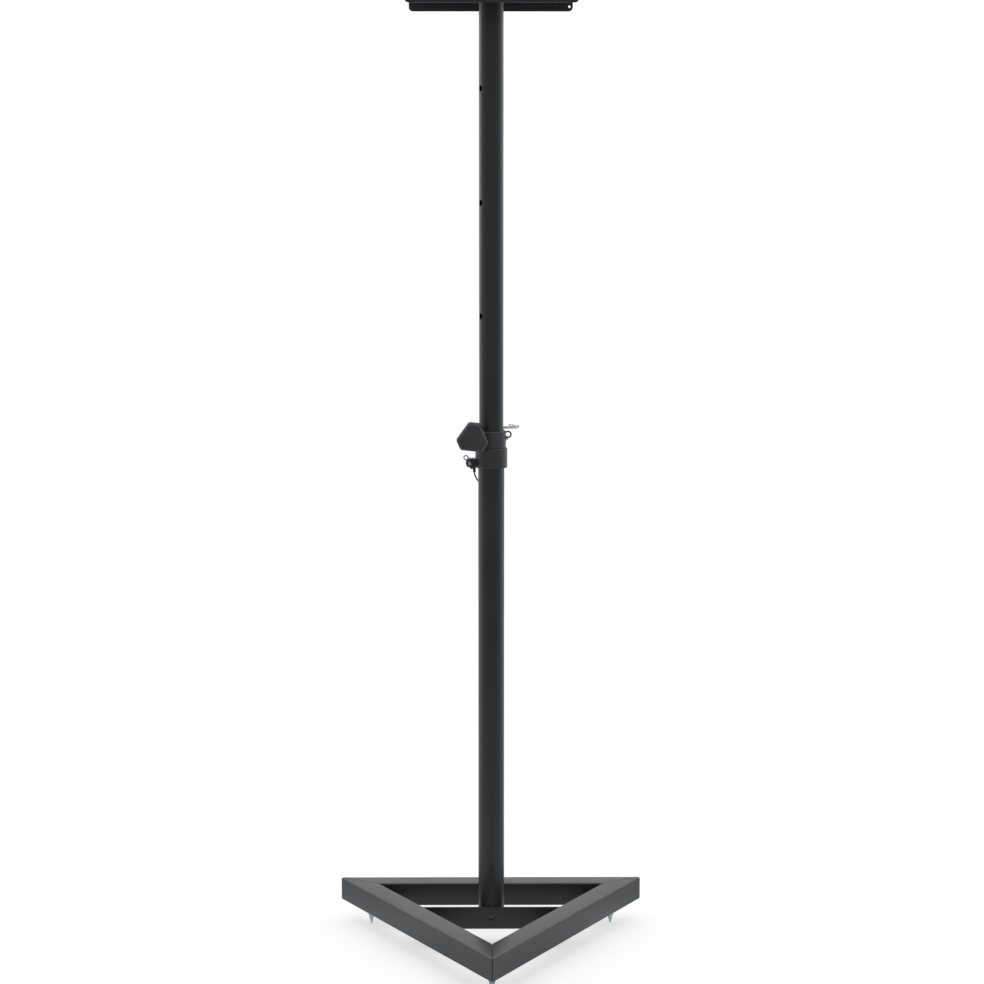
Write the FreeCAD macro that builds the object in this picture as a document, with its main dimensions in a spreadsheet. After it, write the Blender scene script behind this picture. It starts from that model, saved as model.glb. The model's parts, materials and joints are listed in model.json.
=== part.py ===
"""Height-adjustable speaker stand: mitred triangular base on spikes, a telescopic pole
with a clamp collar, a locking pin and a folded top plate.

Millimetres. +Z is up, +X is to the right and -Y is the front, where the base comes to a
point. The origin lies on the floor, in the middle of the base's bounding rectangle.
The pole stands over the centroid of the base triangle, at y = pole_y.
"""
import FreeCAD, Part
import math
import os
import re
import Sketcher

OUT = "parts"
CORNERS = ("right", "left", "front")

SIZES = [
    # base frame
    ("base_side", 460, "outer side of the base triangle"),
    ("tube_side", 35, "side of the square base tube"),
    ("tube_wall", 2, "wall of the square base tube"),
    ("tube_edge", 2.5, "outer edge radius of the square tube"),
    ("base_lift", 30, "underside of the base above the floor"),
    # clearances
    ("fit_gap", 0.1, "radial gap of a fixed fit"),
    ("run_gap", 0.05, "radial gap of a shaft that turns or slides"),
    ("slide_gap", 0.3, "radial gap round the sliding tube"),
    ("face_gap", 0.1, "gap between faces of parts that move apart"),
    # spikes
    ("spike_inset", 54.8, "spike axis from the outer corner, along the bisector"),
    ("spike_thread", 8, "thread diameter of a spike"),
    ("spike_width", 12, "diameter of the spike's shoulder"),
    ("spike_tip", 1.5, "flat at the spike's point"),
    ("spike_cone", 19, "height of the spike's cone"),
    ("spike_engage", 16, "thread above the underside of the base"),
    ("weld_boss_width", 12, "diameter of the threaded boss in each corner"),
    ("weld_boss_height", 20, "height of the threaded boss"),
    ("lock_nut_width", 13, "width across flats of the lock nut"),
    ("lock_nut_height", 6.5, "height of the lock nut"),
    # cross bracket and foot of the pole
    ("bracket_height", 34, "height of the upright flange"),
    ("bracket_sheet", 3, "sheet thickness of the bracket"),
    ("bracket_foot", 24, "reach of the foot flange behind the pole axis"),
    ("bracket_bend", 4, "outer bend radius of the bracket"),
    ("bracket_gap", 0.2, "gap from the pole to the upright flange"),
    ("foot_plug_height", 22, "height of the plug in the foot of the pole"),
    ("foot_bolt_thread", 8, "thread diameter of the foot bolt"),
    ("foot_bolt_width", 14, "head diameter of the foot bolt"),
    ("foot_bolt_head", 4.4, "head height of the foot bolt"),
    ("foot_bolt_key", 5, "width across flats of its socket"),
    ("foot_bolt_reach", 19, "foot bolt above the foot flange"),
    ("side_screw_rise", 14, "side screw above the foot of the pole"),
    ("side_screw_thread", 6, "thread diameter of the side screw"),
    ("side_screw_width", 9.5, "head diameter of the side screw"),
    ("side_screw_head", 2.6, "head height of the side screw"),
    ("side_screw_key", 4, "width across flats of its socket"),
    ("side_screw_reach", 12.5, "side screw inside the pole's surface"),
    # lower tube
    ("lower_width", 38, "outer diameter of the lower tube"),
    ("lower_wall", 1.2, "wall of the lower tube"),
    ("lower_length", 710, "length of the lower tube"),
    # collar
    ("collar_width", 46.6, "outer diameter of the collar"),
    ("collar_grip", 26, "length of the lower tube inside the collar"),
    ("collar_seat", 3, "depth of the bush below the collar's edge"),
    ("collar_rise", 28, "top of the collar above the end of the lower tube"),
    ("collar_edge", 1.2, "edge radius of the collar"),
    ("bush_width", 42.6, "outer diameter of the bush"),
    ("bush_skin", 2.4, "wall of the bush inside the collar"),
    ("bush_edge", 2.2, "edge radius of the bush's top"),
    ("jaw_radius", 7.5, "radius of a jaw of the bush"),
    ("jaw_depth", 29, "depth across both jaws"),
    ("jaw_slit", 2.5, "width of the slit between the jaws"),
    ("ear_reach", 30.6, "clamp bolt axis from the pole axis"),
    ("ear_rise", 7, "clamp bolt axis above the collar's lower rim"),
    ("ear_radius", 6.4, "radius of a clamp ear"),
    ("ear_depth", 17, "depth across both clamp ears"),
    ("ear_slit", 2, "width of the clamp slit"),
    ("ear_slit_height", 24, "height of the clamp slit"),
    ("clamp_thread", 6, "thread diameter of the clamp bolt"),
    ("clamp_width", 10, "width across flats of clamp bolt and nut"),
    ("clamp_head", 4, "head height of the clamp bolt"),
    ("clamp_nut_height", 5, "height of the clamp nut"),
    ("clamp_tail", 1.5, "clamp bolt beyond its nut"),
    # clamp knob
    ("knob_offset", 26.9, "knob's axis to the left of the pole axis"),
    ("stud_rise", 19.9, "stud axis above the end of the lower tube"),
    ("stud_thread", 8, "thread diameter of the knob's stud"),
    ("stud_grip", 16, "length of the stud inside the knob"),
    ("stud_tail", 2, "stud beyond the insert"),
    ("insert_width", 11, "diameter of the threaded insert"),
    ("insert_length", 10, "length of the threaded insert"),
    ("thrust_width", 16, "diameter of the thrust washer"),
    ("thrust_sheet", 2, "thickness of the thrust washer"),
    ("knob_gap", 1.3, "gap from the bush to the knob's lobes"),
    ("knob_thickness", 17, "thickness of the knob's lobes along its axis"),
    ("knob_end", 22.7, "knob's axis to the flat end of a lobe"),
    ("knob_flank", 18.2, "knob's axis to the flank between two lobes"),
    ("knob_corner", 5, "radius of a lobe's corners"),
    ("knob_lobe_turn", 84, "angle of the first lobe above the horizontal"),
    ("knob_face_edge", 3.2, "chamfer round the knob's face"),
    ("knob_back_edge", 1.5, "edge radius of the knob's back"),
    ("knob_hub_width", 15, "diameter of the knob's hub"),
    ("knob_hollow", 26, "diameter of the hollow round the hub"),
    ("knob_hollow_depth", 9, "depth of the hollow in the knob's back"),
    # upper tube
    ("upper_width", 35, "outer diameter of the upper tube"),
    ("upper_wall", 1.5, "wall of the upper tube"),
    ("upper_length", 841.5, "length of the upper tube"),
    ("hole_width", 9, "diameter of an adjusting hole"),
    ("hole_pitch", 162, "spacing of the adjusting holes"),
    ("hole_count", 5, "number of adjusting holes"),
    ("hole_start", 67, "lowest adjusting hole above the tube's lower end"),
    ("pin_azimuth", 62, "tip of the locking pin to the left of the front"),
    ("glide_flange", 4, "height of the end glide's flange"),
    ("glide_spigot", 15, "height of the end glide's spigot"),
    ("glide_bore", 26, "bore of the end glide"),
    ("top_plug_height", 25, "height of the plug in the head of the tube"),
    # locking pin
    ("pin_width", 7, "diameter of the locking pin"),
    ("pin_rest", 0.2, "gap from the collar to the pin that rests on it"),
    ("pin_tip_reach", 21.5, "tip of the pin from the pole axis"),
    ("pin_head_reach", 45, "head end of the pin from the pole axis"),
    ("pin_chamfer", 1.2, "chamfer at both ends of the pin"),
    ("ring_hole", 3, "diameter of the pin's cross hole"),
    ("ring_hole_end", 3.5, "cross hole from the head end of the pin"),
    ("ring_radius", 6.5, "mean radius of the pull ring"),
    ("ring_wire", 1.4, "wire diameter of the pull ring"),
    ("ring_rest", 0.1, "gap from the ring to the shank that it rests on"),
    # top plate
    ("plate_side", 240, "side of the top plate"),
    ("plate_sheet", 3, "sheet thickness of the top plate"),
    ("plate_lip", 15.6, "height of the folded lips"),
    ("plate_bend", 3.5, "outer bend radius"),
    ("plate_inner_bend", 0.6, "inner bend radius"),
    ("lip_corner", 6, "radius of the lips' lower corners"),
    ("fixing_pitch", 180, "spacing of the speaker fixing holes"),
    ("fixing_width", 6.5, "diameter of the speaker fixing holes"),
    ("hang_hole", 3.6, "diameter of the coating hook's hole"),
    ("hang_inset", 5, "hook's hole from the lip's end"),
    ("hang_drop", 8.8, "hook's hole below the plate's top"),
    ("plate_screw_circle", 20, "pitch circle of the plate screws"),
    ("plate_screw_count", 3, "number of plate screws"),
    ("plate_screw_thread", 5, "thread diameter of a plate screw"),
    ("plate_screw_width", 10, "head diameter of a plate screw"),
    ("plate_screw_head", 2.6, "head height of a plate screw"),
    ("plate_screw_length", 16, "length of a plate screw"),
    ("plate_screw_key", 3, "width across flats of its socket"),
    ("mat_side", 214, "side of the anti-slip mat"),
    ("mat_thickness", 2, "thickness of the anti-slip mat"),
    ("mat_corner", 6, "corner radius of the mat"),
    ("mat_hole", 12, "hole in the mat round a fixing hole"),
    # lanyard
    ("lug_sheet", 1, "sheet thickness of the lanyard lug"),
    ("lug_washer", 11, "washer part of the lug"),
    ("lug_eye", 7.6, "outer diameter of the lug's small eye"),
    ("lug_eye_hole", 4.6, "hole of the lug's small eye"),
    ("lug_eye_reach", 8.6, "small eye from the clamp bolt"),
    ("barrel_width", 4.2, "diameter of the crimp barrel"),
    ("barrel_length", 9, "length of the crimp barrel"),
    ("cord_width", 2.2, "diameter of the lanyard cord"),
    ("eye_radius", 4.4, "mean radius of the lanyard eye"),
    ("eye_wire", 2.4, "wire diameter of the lanyard eye"),
    ("eye_reach", 24.2, "centre of the lanyard eye from the pole axis"),
    ("eye_drop", 5.9, "centre of the lanyard eye below the collar's top"),
    ("loop_radius", 3.4, "mean radius of the cord's end loop"),
    ("loop_wire", 1.4, "wire diameter of the end loop"),
    ("loop_shift", 1.3, "centre of the end loop behind the eye's wire"),
    ("ferrule_width", 3.8, "diameter of the crimp ferrule"),
    ("ferrule_length", 7, "length of the crimp ferrule"),
    # construction
    ("overcut", 1, "how far a cutting shape stands past the surface"),
]

DERIVED = [
    ("base_rise", "=base_side * sqrt(3) / 2", "height of the base triangle"),
    ("pole_y", "=base_rise / 6", "pole axis behind the origin"),
    ("rear_face", "=base_rise / 3", "rear face of the base behind the pole axis"),
    ("inner_apex", "=2 * tube_side - 2 * base_rise / 3", "inner front corner of the base"),
    ("lower_bottom", "=base_lift + bracket_sheet", "foot of the lower tube"),
    ("lower_top", "=lower_bottom + lower_length", "end of the lower tube"),
    ("lower_bore", "=lower_width - 2 * lower_wall", "bore of the lower tube"),
    ("upper_bore", "=upper_width - 2 * upper_wall", "bore of the upper tube"),
    ("collar_bottom", "=lower_top - collar_grip", "lower rim of the collar"),
    ("collar_seam", "=lower_top + collar_seat", "edge where the bush comes out"),
    ("collar_top", "=lower_top + collar_rise", "top of the collar"),
    ("guide_width", "=upper_width + 2 * slide_gap", "bore of the bush"),
    ("seat_width", "=guide_width + 2 * bush_skin", "bush diameter inside the collar"),
    ("stud_z", "=lower_top + stud_rise", "height of the stud's axis"),
    ("jaw_face", "=jaw_depth / 2", "front face of the jaws from the pole axis"),
    ("thrust_face", "=jaw_face + face_gap", "back of the thrust washer from the pole axis"),
    ("hub_face", "=thrust_face + thrust_sheet + face_gap", "back of the hub from the pole axis"),
    ("knob_back", "=bush_width / 2 + knob_gap", "back of the lobes from the pole axis"),
    ("knob_end_half", "=(2 * knob_flank - knob_end) / sqrt(3)", "half width of a lobe's flat end"),
    ("pin_z", "=collar_top + pin_rest + pin_width / 2", "height of the pin's axis"),
    ("upper_bottom", "=pin_z - hole_pitch - hole_start", "lower end of the upper tube"),
    ("upper_top", "=upper_bottom + upper_length", "upper end of the upper tube"),
    ("plate_top", "=upper_top + plate_sheet", "top of the plate"),
    ("ring_hinge", "=pin_head_reach - ring_hole_end", "cross hole from the pole axis"),
    ("ring_chord", "=sqrt(ring_radius ^ 2 - pin_width ^ 2 / 4)", "ring at the pin's side"),
    ("ring_offset", "=(ring_radius + ring_chord) / 2", "ring centre from the cross hole"),
    ("ring_lift", "=(pin_width + ring_wire) / 2 + ring_rest", "far side of the ring"),
    ("ear_z", "=collar_bottom + ear_rise", "height of the clamp bolt's axis"),
    ("ear_back", "=ear_depth / 2", "rear face of the clamp ears"),
    ("eye_z", "=collar_top - eye_drop", "height of the lanyard eye's centre"),
]

# Route of the lanyard cord from the crimp barrel to the ferrule, chosen by hand:
# x and y from the pole axis, z from the end of the lower tube.
CORD_ROUTE = [
    (-24.6, 10.9, -34.0),
    (-24.6, 10.9, -38.0),
    (-18.0, 17.3, -50.5),
    (-4.0, 24.2, -57.0),
    (9.6, 22.8, -52.0),
    (16.6, 19.0, -38.5),
    (18.4, 20.4, -21.5),
    (18.8, 20.3, -4.5),
    (19.88, 19.02, 10.14),
    (22.25, 10.95, 14.40),
]

doc = FreeCAD.newDocument("speaker_stand")
sheet = doc.addObject("Spreadsheet::Sheet", "dims")
row = 0
for name, value, note in SIZES + DERIVED:
    row += 1
    sheet.set("A%d" % row, name)
    sheet.set("B%d" % row, str(value))
    sheet.set("C%d" % row, note)
    sheet.setAlias("B%d" % row, name)
doc.recompute()

NAMES = {name for name, value, note in SIZES + DERIVED}
WORD = re.compile(r"[a-z][a-z0-9_]*")
parts = []


def size(name):
    """Value of one named size."""
    return float(sheet.get(name))


def in_sheet(text):
    """The same formula with every named size read from the sheet."""
    return WORD.sub(lambda m: "dims." + m.group(0) if m.group(0) in NAMES else m.group(0), text)


def bind(item, **formulas):
    """Tie simple properties of an object to formulas over the sheet."""
    for prop, text in formulas.items():
        item.setExpression(prop, in_sheet(text))
    return item


def place(item, x="0", y="0", z="0", turn=None, axis=(0, 0, 1)):
    """Tie an object's position, and its turn about one axis, to the sheet."""
    if turn is not None:
        item.Placement = FreeCAD.Placement(FreeCAD.Vector(), FreeCAD.Rotation(FreeCAD.Vector(*axis), 1))
        item.setExpression("Placement.Rotation.Angle", in_sheet(turn))
    for letter, text in (("x", x), ("y", y), ("z", z)):
        item.setExpression("Placement.Base." + letter, in_sheet(text))
    return item


def keep(item, label):
    """Give a finished sub-part its name."""
    item.Label = label
    parts.append(item)
    return item


# ---- sketch-based bodies ----------------------------------------------------------------

def new_body(label):
    return keep(doc.addObject("PartDesign::Body", label), label)


def sketch_on(body, role, offset="0"):
    """A sketch on one of the body's own origin planes, moved along the plane's normal."""
    plane = [item for item in body.Origin.OriginFeatures if item.Role == role][0]
    sketch = body.newObject("Sketcher::SketchObject", body.Name + "_sketch")
    sketch.AttachmentSupport = (plane, [""])
    sketch.MapMode = "FlatFace"
    sketch.setExpression("AttachmentOffset.Base.z", in_sheet(offset))
    return sketch


def hold(sketch, kind, index, place_on_item, start, text):
    """One driving distance from the sketch's origin."""
    number = sketch.addConstraint(Sketcher.Constraint(kind, -1, 1, index, place_on_item, start))
    sketch.setExpression("Constraints[%d]" % number, in_sheet(text))


def polygon(sketch, points):
    """A closed outline whose corners are tied to the sheet."""
    count = len(points)
    first = sketch.GeometryCount
    corners = []
    for index in range(count):
        angle = 2 * math.pi * index / count
        corners.append(FreeCAD.Vector(math.cos(angle), math.sin(angle), 0))
    for index in range(count):
        line = Part.LineSegment(corners[index], corners[(index + 1) % count])
        sketch.addGeometry(line, False)
    for index in range(count):
        following = first + (index + 1) % count
        sketch.addConstraint(Sketcher.Constraint("Coincident", first + index, 2, following, 1))
    for index, (across, up) in enumerate(points):
        hold(sketch, "DistanceX", first + index, 1, corners[index].x, across)
        hold(sketch, "DistanceY", first + index, 1, corners[index].y, up)
    return sketch


def circle(sketch, radius, across="0", up="0"):
    """A circle whose radius and centre are tied to the sheet."""
    index = sketch.addGeometry(Part.Circle(FreeCAD.Vector(1, 1, 0), FreeCAD.Vector(0, 0, 1), 1))
    number = sketch.addConstraint(Sketcher.Constraint("Radius", index, 1.0))
    sketch.setExpression("Constraints[%d]" % number, in_sheet(radius))
    hold(sketch, "DistanceX", index, 3, 1, across)
    hold(sketch, "DistanceY", index, 3, 1, up)
    return sketch


def pad(body, sketch, length, symmetric=False):
    feature = body.newObject("PartDesign::Pad", body.Name + "_pad")
    feature.Profile = sketch
    if symmetric:
        feature.SideType = "Symmetric"
    feature.setExpression("Length", in_sheet(length))
    doc.recompute()
    return feature


def pocket(body, sketch, length=None, along_normal=False):
    """Cut against the sketch's normal, or along it; with no length, through everything."""
    before = body.Shape.Volume
    feature = body.newObject("PartDesign::Pocket", body.Name + "_pocket")
    feature.Profile = sketch
    feature.Reversed = along_normal
    if length is None:
        feature.Type = "ThroughAll"
    else:
        feature.setExpression("Length", in_sheet(length))
    doc.recompute()
    if not body.Shape.Volume < before:
        raise RuntimeError("%s cuts nothing" % feature.Name)
    return feature


def revolve(body, sketch):
    """Turn an outline about the sketch's vertical axis."""
    feature = body.newObject("PartDesign::Revolution", body.Name + "_turned")
    feature.Profile = sketch
    feature.ReferenceAxis = (sketch, ["V_Axis"])
    feature.Angle = 360
    doc.recompute()
    return feature


def edges_where(feature, test):
    """Names of the edges whose middle point and direction pass a test."""
    names = []
    for index, edge in enumerate(feature.Shape.Edges):
        start = edge.valueAt(edge.FirstParameter)
        end = edge.valueAt(edge.LastParameter)
        middle = edge.valueAt((edge.FirstParameter + edge.LastParameter) / 2)
        if test(middle, end - start):
            names.append("Edge%d" % (index + 1))
    return names


def dress(body, kind, base, names, amount):
    """A fillet or chamfer on named edges."""
    feature = body.newObject("PartDesign::" + kind, body.Name + "_" + kind.lower())
    feature.Base = (base, names)
    feature.setExpression("Radius" if kind == "Fillet" else "Size", in_sheet(amount))
    doc.recompute()
    return feature


# ---- primitives and booleans ------------------------------------------------------------

def cylinder(radius, height, x="0", y="0", z="0", turn=None, axis=(0, 0, 1)):
    item = doc.addObject("Part::Cylinder", "cylinder")
    bind(item, Radius=radius, Height=height)
    return place(item, x, y, z, turn, axis)


def forward_cylinder(radius, start, end, x="0", z="0"):
    """A cylinder along Y, from one distance to the other."""
    length = "(%s) - (%s)" % (end, start)
    return cylinder(radius, length, x, start, z, "-90", (1, 0, 0))


def cone(lower, upper, height, z="0"):
    item = doc.addObject("Part::Cone", "cone")
    bind(item, Radius1=lower, Radius2=upper, Height=height)
    return place(item, z=z)


def box(x0, x1, y0, y1, z0, z1):
    item = doc.addObject("Part::Box", "box")
    bind(item, Length="(%s) - (%s)" % (x1, x0), Width="(%s) - (%s)" % (y1, y0))
    bind(item, Height="(%s) - (%s)" % (z1, z0))
    return place(item, x0, y0, z0)


def hexagon(flats, height, z="0"):
    item = doc.addObject("Part::Prism", "hexagon")
    item.Polygon = 6
    bind(item, Circumradius="(%s) / sqrt(3)" % flats, Height=height)
    return place(item, z=z)


def torus(mean, wire):
    item = doc.addObject("Part::Torus", "torus")
    return bind(item, Radius1=mean, Radius2=wire)


def fuse(*shapes):
    item = doc.addObject("Part::MultiFuse", "fuse")
    item.Shapes = list(shapes)
    item.Refine = True
    return item


def carry(shape):
    """Holder round one shape, so that it can be turned a second time."""
    item = doc.addObject("Part::Compound", "carrier")
    item.Links = [shape]
    return item


def cut(base, *tools):
    item = doc.addObject("Part::Cut", "cut")
    item.Base = base
    item.Tool = tools[0] if len(tools) == 1 else fuse(*tools)
    return item


# ---- base -------------------------------------------------------------------------------

def corner_point(index):
    """Distance formulas of spike corner number index from the pole axis."""
    reach = "(2 * base_rise / 3 - spike_inset)"
    angle = 30 + 120 * index
    return "%s * cos(%d deg)" % (reach, angle), "%s * sin(%d deg)" % (reach, angle)


def make_base_tube(label, turn):
    """Square tube with mitred ends; the other sides are the rear one turned."""
    body = new_body(label)
    section = sketch_on(body, "YZ_Plane")
    near, far = "rear_face - tube_side", "rear_face"
    polygon(section, [(near, "0"), (far, "0"), (far, "tube_side"), (near, "tube_side")])
    inner_near, inner_far = near + " + tube_wall", far + " - tube_wall"
    inner_top = "tube_side - tube_wall"
    polygon(section, [(inner_near, "tube_wall"), (inner_far, "tube_wall"),
                      (inner_far, inner_top), (inner_near, inner_top)])
    bar = pad(body, section, "base_side", symmetric=True)
    faces_y = (size("rear_face") - size("tube_side"), size("rear_face"))
    faces_z = (0, size("tube_side"))

    def outer_edge(middle, run):
        along = abs(run.x) > 1
        return along and near_any(middle.y, faces_y) and near_any(middle.z, faces_z)

    dress(body, "Fillet", bar, edges_where(bar, outer_edge), "tube_edge")
    for sign in ("", "-"):
        mitre = sketch_on(body, "XY_Plane")
        outer = sign + "(base_side / 2 + overcut * sqrt(3))"
        inner = sign + "(base_side / 2 - (tube_side + overcut) * sqrt(3))"
        polygon(mitre, [(outer, "rear_face + overcut"), (inner, near + " - overcut"),
                        (outer, near + " - overcut")])
        pocket(body, mitre, along_normal=True)
        hole = sketch_on(body, "XY_Plane")
        across, up = corner_point(0)
        circle(hole, "weld_boss_width / 2 + fit_gap", sign + across, up)
        pocket(body, hole, "tube_wall + overcut", along_normal=True)
    place(body, y="pole_y", z="base_lift", turn=str(turn))


def near_any(value, targets):
    return min(abs(value - target) for target in targets) < 0.01


def make_corner_fittings(index, corner):
    """Threaded boss, lock nut and spike of one corner."""
    across, up = corner_point(index)
    up = "pole_y + " + up
    boss = cut(cylinder("weld_boss_width / 2", "weld_boss_height"),
               cylinder("spike_thread / 2 + run_gap", "weld_boss_height + 2 * overcut", z="-overcut"))
    keep(place(boss, across, up, "base_lift"), "weld_boss_" + corner)

    nut = cut(hexagon("lock_nut_width", "lock_nut_height"),
              cylinder("spike_thread / 2 + run_gap", "lock_nut_height + 2 * overcut", z="-overcut"))
    keep(place(nut, across, up, "base_lift - lock_nut_height"), "lock_nut_" + corner)

    spike = new_body("spike_" + corner)
    outline = sketch_on(spike, "XZ_Plane")
    shoulder = "base_lift - lock_nut_height - face_gap"
    end = "base_lift + spike_engage"
    polygon(outline, [("0", "0"), ("spike_tip / 2", "0"), ("spike_width / 2", "spike_cone"),
                      ("spike_width / 2", shoulder), ("spike_thread / 2", shoulder),
                      ("spike_thread / 2", end), ("0", end)])
    revolve(spike, outline)
    place(spike, across, up)


def make_cross_bracket():
    """Angle across the base, cut to the slant of the side tubes, that carries the pole."""
    body = new_body("cross_bracket")
    section = sketch_on(body, "YZ_Plane")
    back = "-(lower_width / 2 + bracket_gap)"
    front = back + " - bracket_sheet"
    polygon(section, [(front, "0"), (front, "bracket_height"), (back, "bracket_height"),
                      (back, "bracket_sheet"), ("bracket_foot", "bracket_sheet"),
                      ("bracket_foot", "0")])
    angle = pad(body, section, "base_side", symmetric=True)
    front_y = -(size("lower_width") / 2 + size("bracket_gap") + size("bracket_sheet"))

    def bend_edge(middle, run):
        return abs(run.x) > 1 and near_any(middle.y, [front_y]) and near_any(middle.z, [0])

    dress(body, "Fillet", angle, edges_where(angle, bend_edge), "bracket_bend")
    for sign in ("", "-"):
        trim = sketch_on(body, "XY_Plane")
        edge = "(%s - inner_apex - 2 * fit_gap) / sqrt(3)"
        ahead = front + " - overcut"
        behind = "bracket_foot + overcut"
        wide = sign + "base_side"
        polygon(trim, [(sign + edge % ("(" + ahead + ")"), ahead), (wide, ahead), (wide, behind),
                       (sign + edge % ("(" + behind + ")"), behind)])
        pocket(body, trim, along_normal=True)
    hole = circle(sketch_on(body, "XY_Plane"), "foot_bolt_thread / 2 + 5 * run_gap")
    pocket(body, hole, along_normal=True)
    screw_hole = sketch_on(body, "XZ_Plane")
    circle(screw_hole, "side_screw_thread / 2 + 2 * fit_gap", up="bracket_sheet + side_screw_rise")
    pocket(body, screw_hole, along_normal=True)
    place(body, y="pole_y", z="base_lift")


def make_pole_foot():
    """Plug in the foot of the lower tube with its bolt and side screw."""
    plug = cut(cylinder("lower_bore / 2 - fit_gap", "foot_plug_height"),
               cylinder("foot_bolt_thread / 2 + run_gap", "foot_plug_height + 2 * overcut", z="-overcut"),
               forward_cylinder("side_screw_thread / 2 + run_gap", "-lower_width", "0",
                                z="side_screw_rise"))
    keep(place(plug, y="pole_y", z="lower_bottom"), "pole_foot_plug")

    under = "-(bracket_sheet + foot_bolt_head)"
    bolt = fuse(cylinder("foot_bolt_width / 2", "foot_bolt_head", z=under),
                cylinder("foot_bolt_thread / 2", "foot_bolt_reach + bracket_sheet", z="-bracket_sheet"))
    key = hexagon("foot_bolt_key", "foot_bolt_head / 2 + overcut", z=under + " - overcut")
    keep(place(cut(bolt, key), y="pole_y", z="lower_bottom"), "foot_bolt")

    seat = "-(lower_width / 2 + bracket_gap + bracket_sheet)"
    screw = new_body("side_screw")
    outline = sketch_on(screw, "XY_Plane")
    tip = "side_screw_reach - lower_width / 2"
    polygon(outline, [("0", seat + " - side_screw_head"),
                      ("side_screw_width / 3", seat + " - side_screw_head"),
                      ("side_screw_width / 2", seat + " - side_screw_head / 3"),
                      ("side_screw_width / 2", seat), ("side_screw_thread / 2", seat),
                      ("side_screw_thread / 2", tip), ("0", tip)])
    revolve(screw, outline)
    key = sketch_on(screw, "XZ_Plane", "lower_width / 2 + bracket_gap + bracket_sheet")
    polygon(key, hex_points("side_screw_key"))
    pocket(screw, key, along_normal=True)
    place(screw, y="pole_y", z="lower_bottom + side_screw_rise")


def hex_points(flats):
    """Corners of a hexagon across its flats."""
    points = []
    for index in range(6):
        corner = "%s / sqrt(3) * %s(%d deg)"
        points.append((corner % (flats, "cos", 60 * index), corner % (flats, "sin", 60 * index)))
    return points


# ---- lower tube and collar --------------------------------------------------------------

def make_lower_tube():
    body = new_body("lower_tube")
    ring = sketch_on(body, "XY_Plane")
    circle(ring, "lower_width / 2")
    circle(ring, "lower_bore / 2")
    pad(body, ring, "lower_length")
    hole = sketch_on(body, "XZ_Plane")
    circle(hole, "side_screw_thread / 2 + 2 * fit_gap", up="side_screw_rise")
    pocket(body, hole, along_normal=True)
    place(body, y="pole_y", z="lower_bottom")


def turned_ring(label, points, edge_points, edge):
    """A ring turned about the pole axis with its sharp rims rounded."""
    body = doc.addObject("PartDesign::Body", label)
    outline = polygon(sketch_on(body, "XZ_Plane"), points)
    ring = revolve(body, outline)
    targets = [(size(radius) / 2, height) for radius, height in edge_points]

    def rim(middle, run):
        radius = math.hypot(middle.x, middle.y)
        return any(abs(radius - r) < 0.01 and abs(middle.z - h) < 0.01 for r, h in targets)

    dress(body, "Fillet", ring, edges_where(ring, rim), edge)
    return body


def make_collar():
    """Clamp collar: ring with clamp ears round the end of the lower tube."""
    seam = "(collar_seam - collar_bottom)"
    rims = [("collar_width", 0), ("collar_width", size("collar_seam") - size("collar_bottom"))]
    ring = turned_ring("collar_ring",
                       [("lower_width / 2", "0"), ("collar_width / 2", "0"),
                        ("collar_width / 2", seam), ("lower_width / 2", seam)],
                       rims, "collar_edge")
    ear = forward_cylinder("ear_radius", "-ear_depth / 2", "ear_depth / 2", "-ear_reach", "ear_rise")
    cheek = box("-ear_reach", "-lower_width / 2", "-ear_depth / 2", "ear_depth / 2",
                "ear_rise - ear_radius", "ear_rise + ear_radius")
    tools = [
        cylinder("lower_width / 2 + fit_gap", "collar_grip + overcut", z="-overcut"),
        cylinder("seat_width / 2 + fit_gap", seam, z="collar_grip"),
        box("-2 * collar_width", "-lower_width / 4", "-ear_slit / 2", "ear_slit / 2",
            "-overcut", "ear_slit_height"),
        forward_cylinder("clamp_thread / 2 + 2 * fit_gap", "-ear_depth", "ear_depth",
                         "-ear_reach", "ear_rise"),
    ]
    keep(place(cut(fuse(ring, ear, cheek), *tools), y="pole_y", z="collar_bottom"), "collar")


def make_collar_bush():
    """Guide bush seated in the collar, split at the left between two jaws."""
    top = "(collar_top - lower_top)"
    ring = turned_ring("bush_ring",
                       [("guide_width / 2", "0"), ("seat_width / 2", "0"),
                        ("seat_width / 2", "collar_seat"), ("bush_width / 2", "collar_seat"),
                        ("bush_width / 2", top), ("guide_width / 2", top)],
                       [("bush_width", size("collar_rise"))], "bush_edge")
    jaw = forward_cylinder("jaw_radius", "-jaw_face", "jaw_face", "-knob_offset", "stud_rise")
    cheek = box("-knob_offset", "-guide_width / 3", "-jaw_face", "jaw_face",
                "stud_rise - jaw_radius", "stud_rise + jaw_radius")
    tools = [
        cylinder("guide_width / 2", top + " + 2 * overcut", z="-overcut"),
        box("-2 * bush_width", "-guide_width / 4", "-jaw_slit / 2", "jaw_slit / 2",
            "collar_seat", top + " + overcut"),
        along_stud("stud_thread / 2 + 2 * fit_gap", "-jaw_depth", "jaw_depth", "stud_rise"),
        along_stud("insert_width / 2 + fit_gap", "jaw_face - insert_length", "jaw_depth", "stud_rise"),
        place(torus("eye_radius", "eye_wire / 2 + fit_gap"), "eye_reach", z="eye_z - lower_top",
              turn="90", axis=(1, 0, 0)),
    ]
    keep(place(cut(fuse(ring, jaw, cheek), *tools), y="pole_y", z="lower_top"), "collar_bush")


def along_stud(radius, start, end, height="0"):
    """A cylinder on the stud's axis, between two distances behind the pole axis."""
    return forward_cylinder(radius, start, end, "-knob_offset", height)


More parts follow.
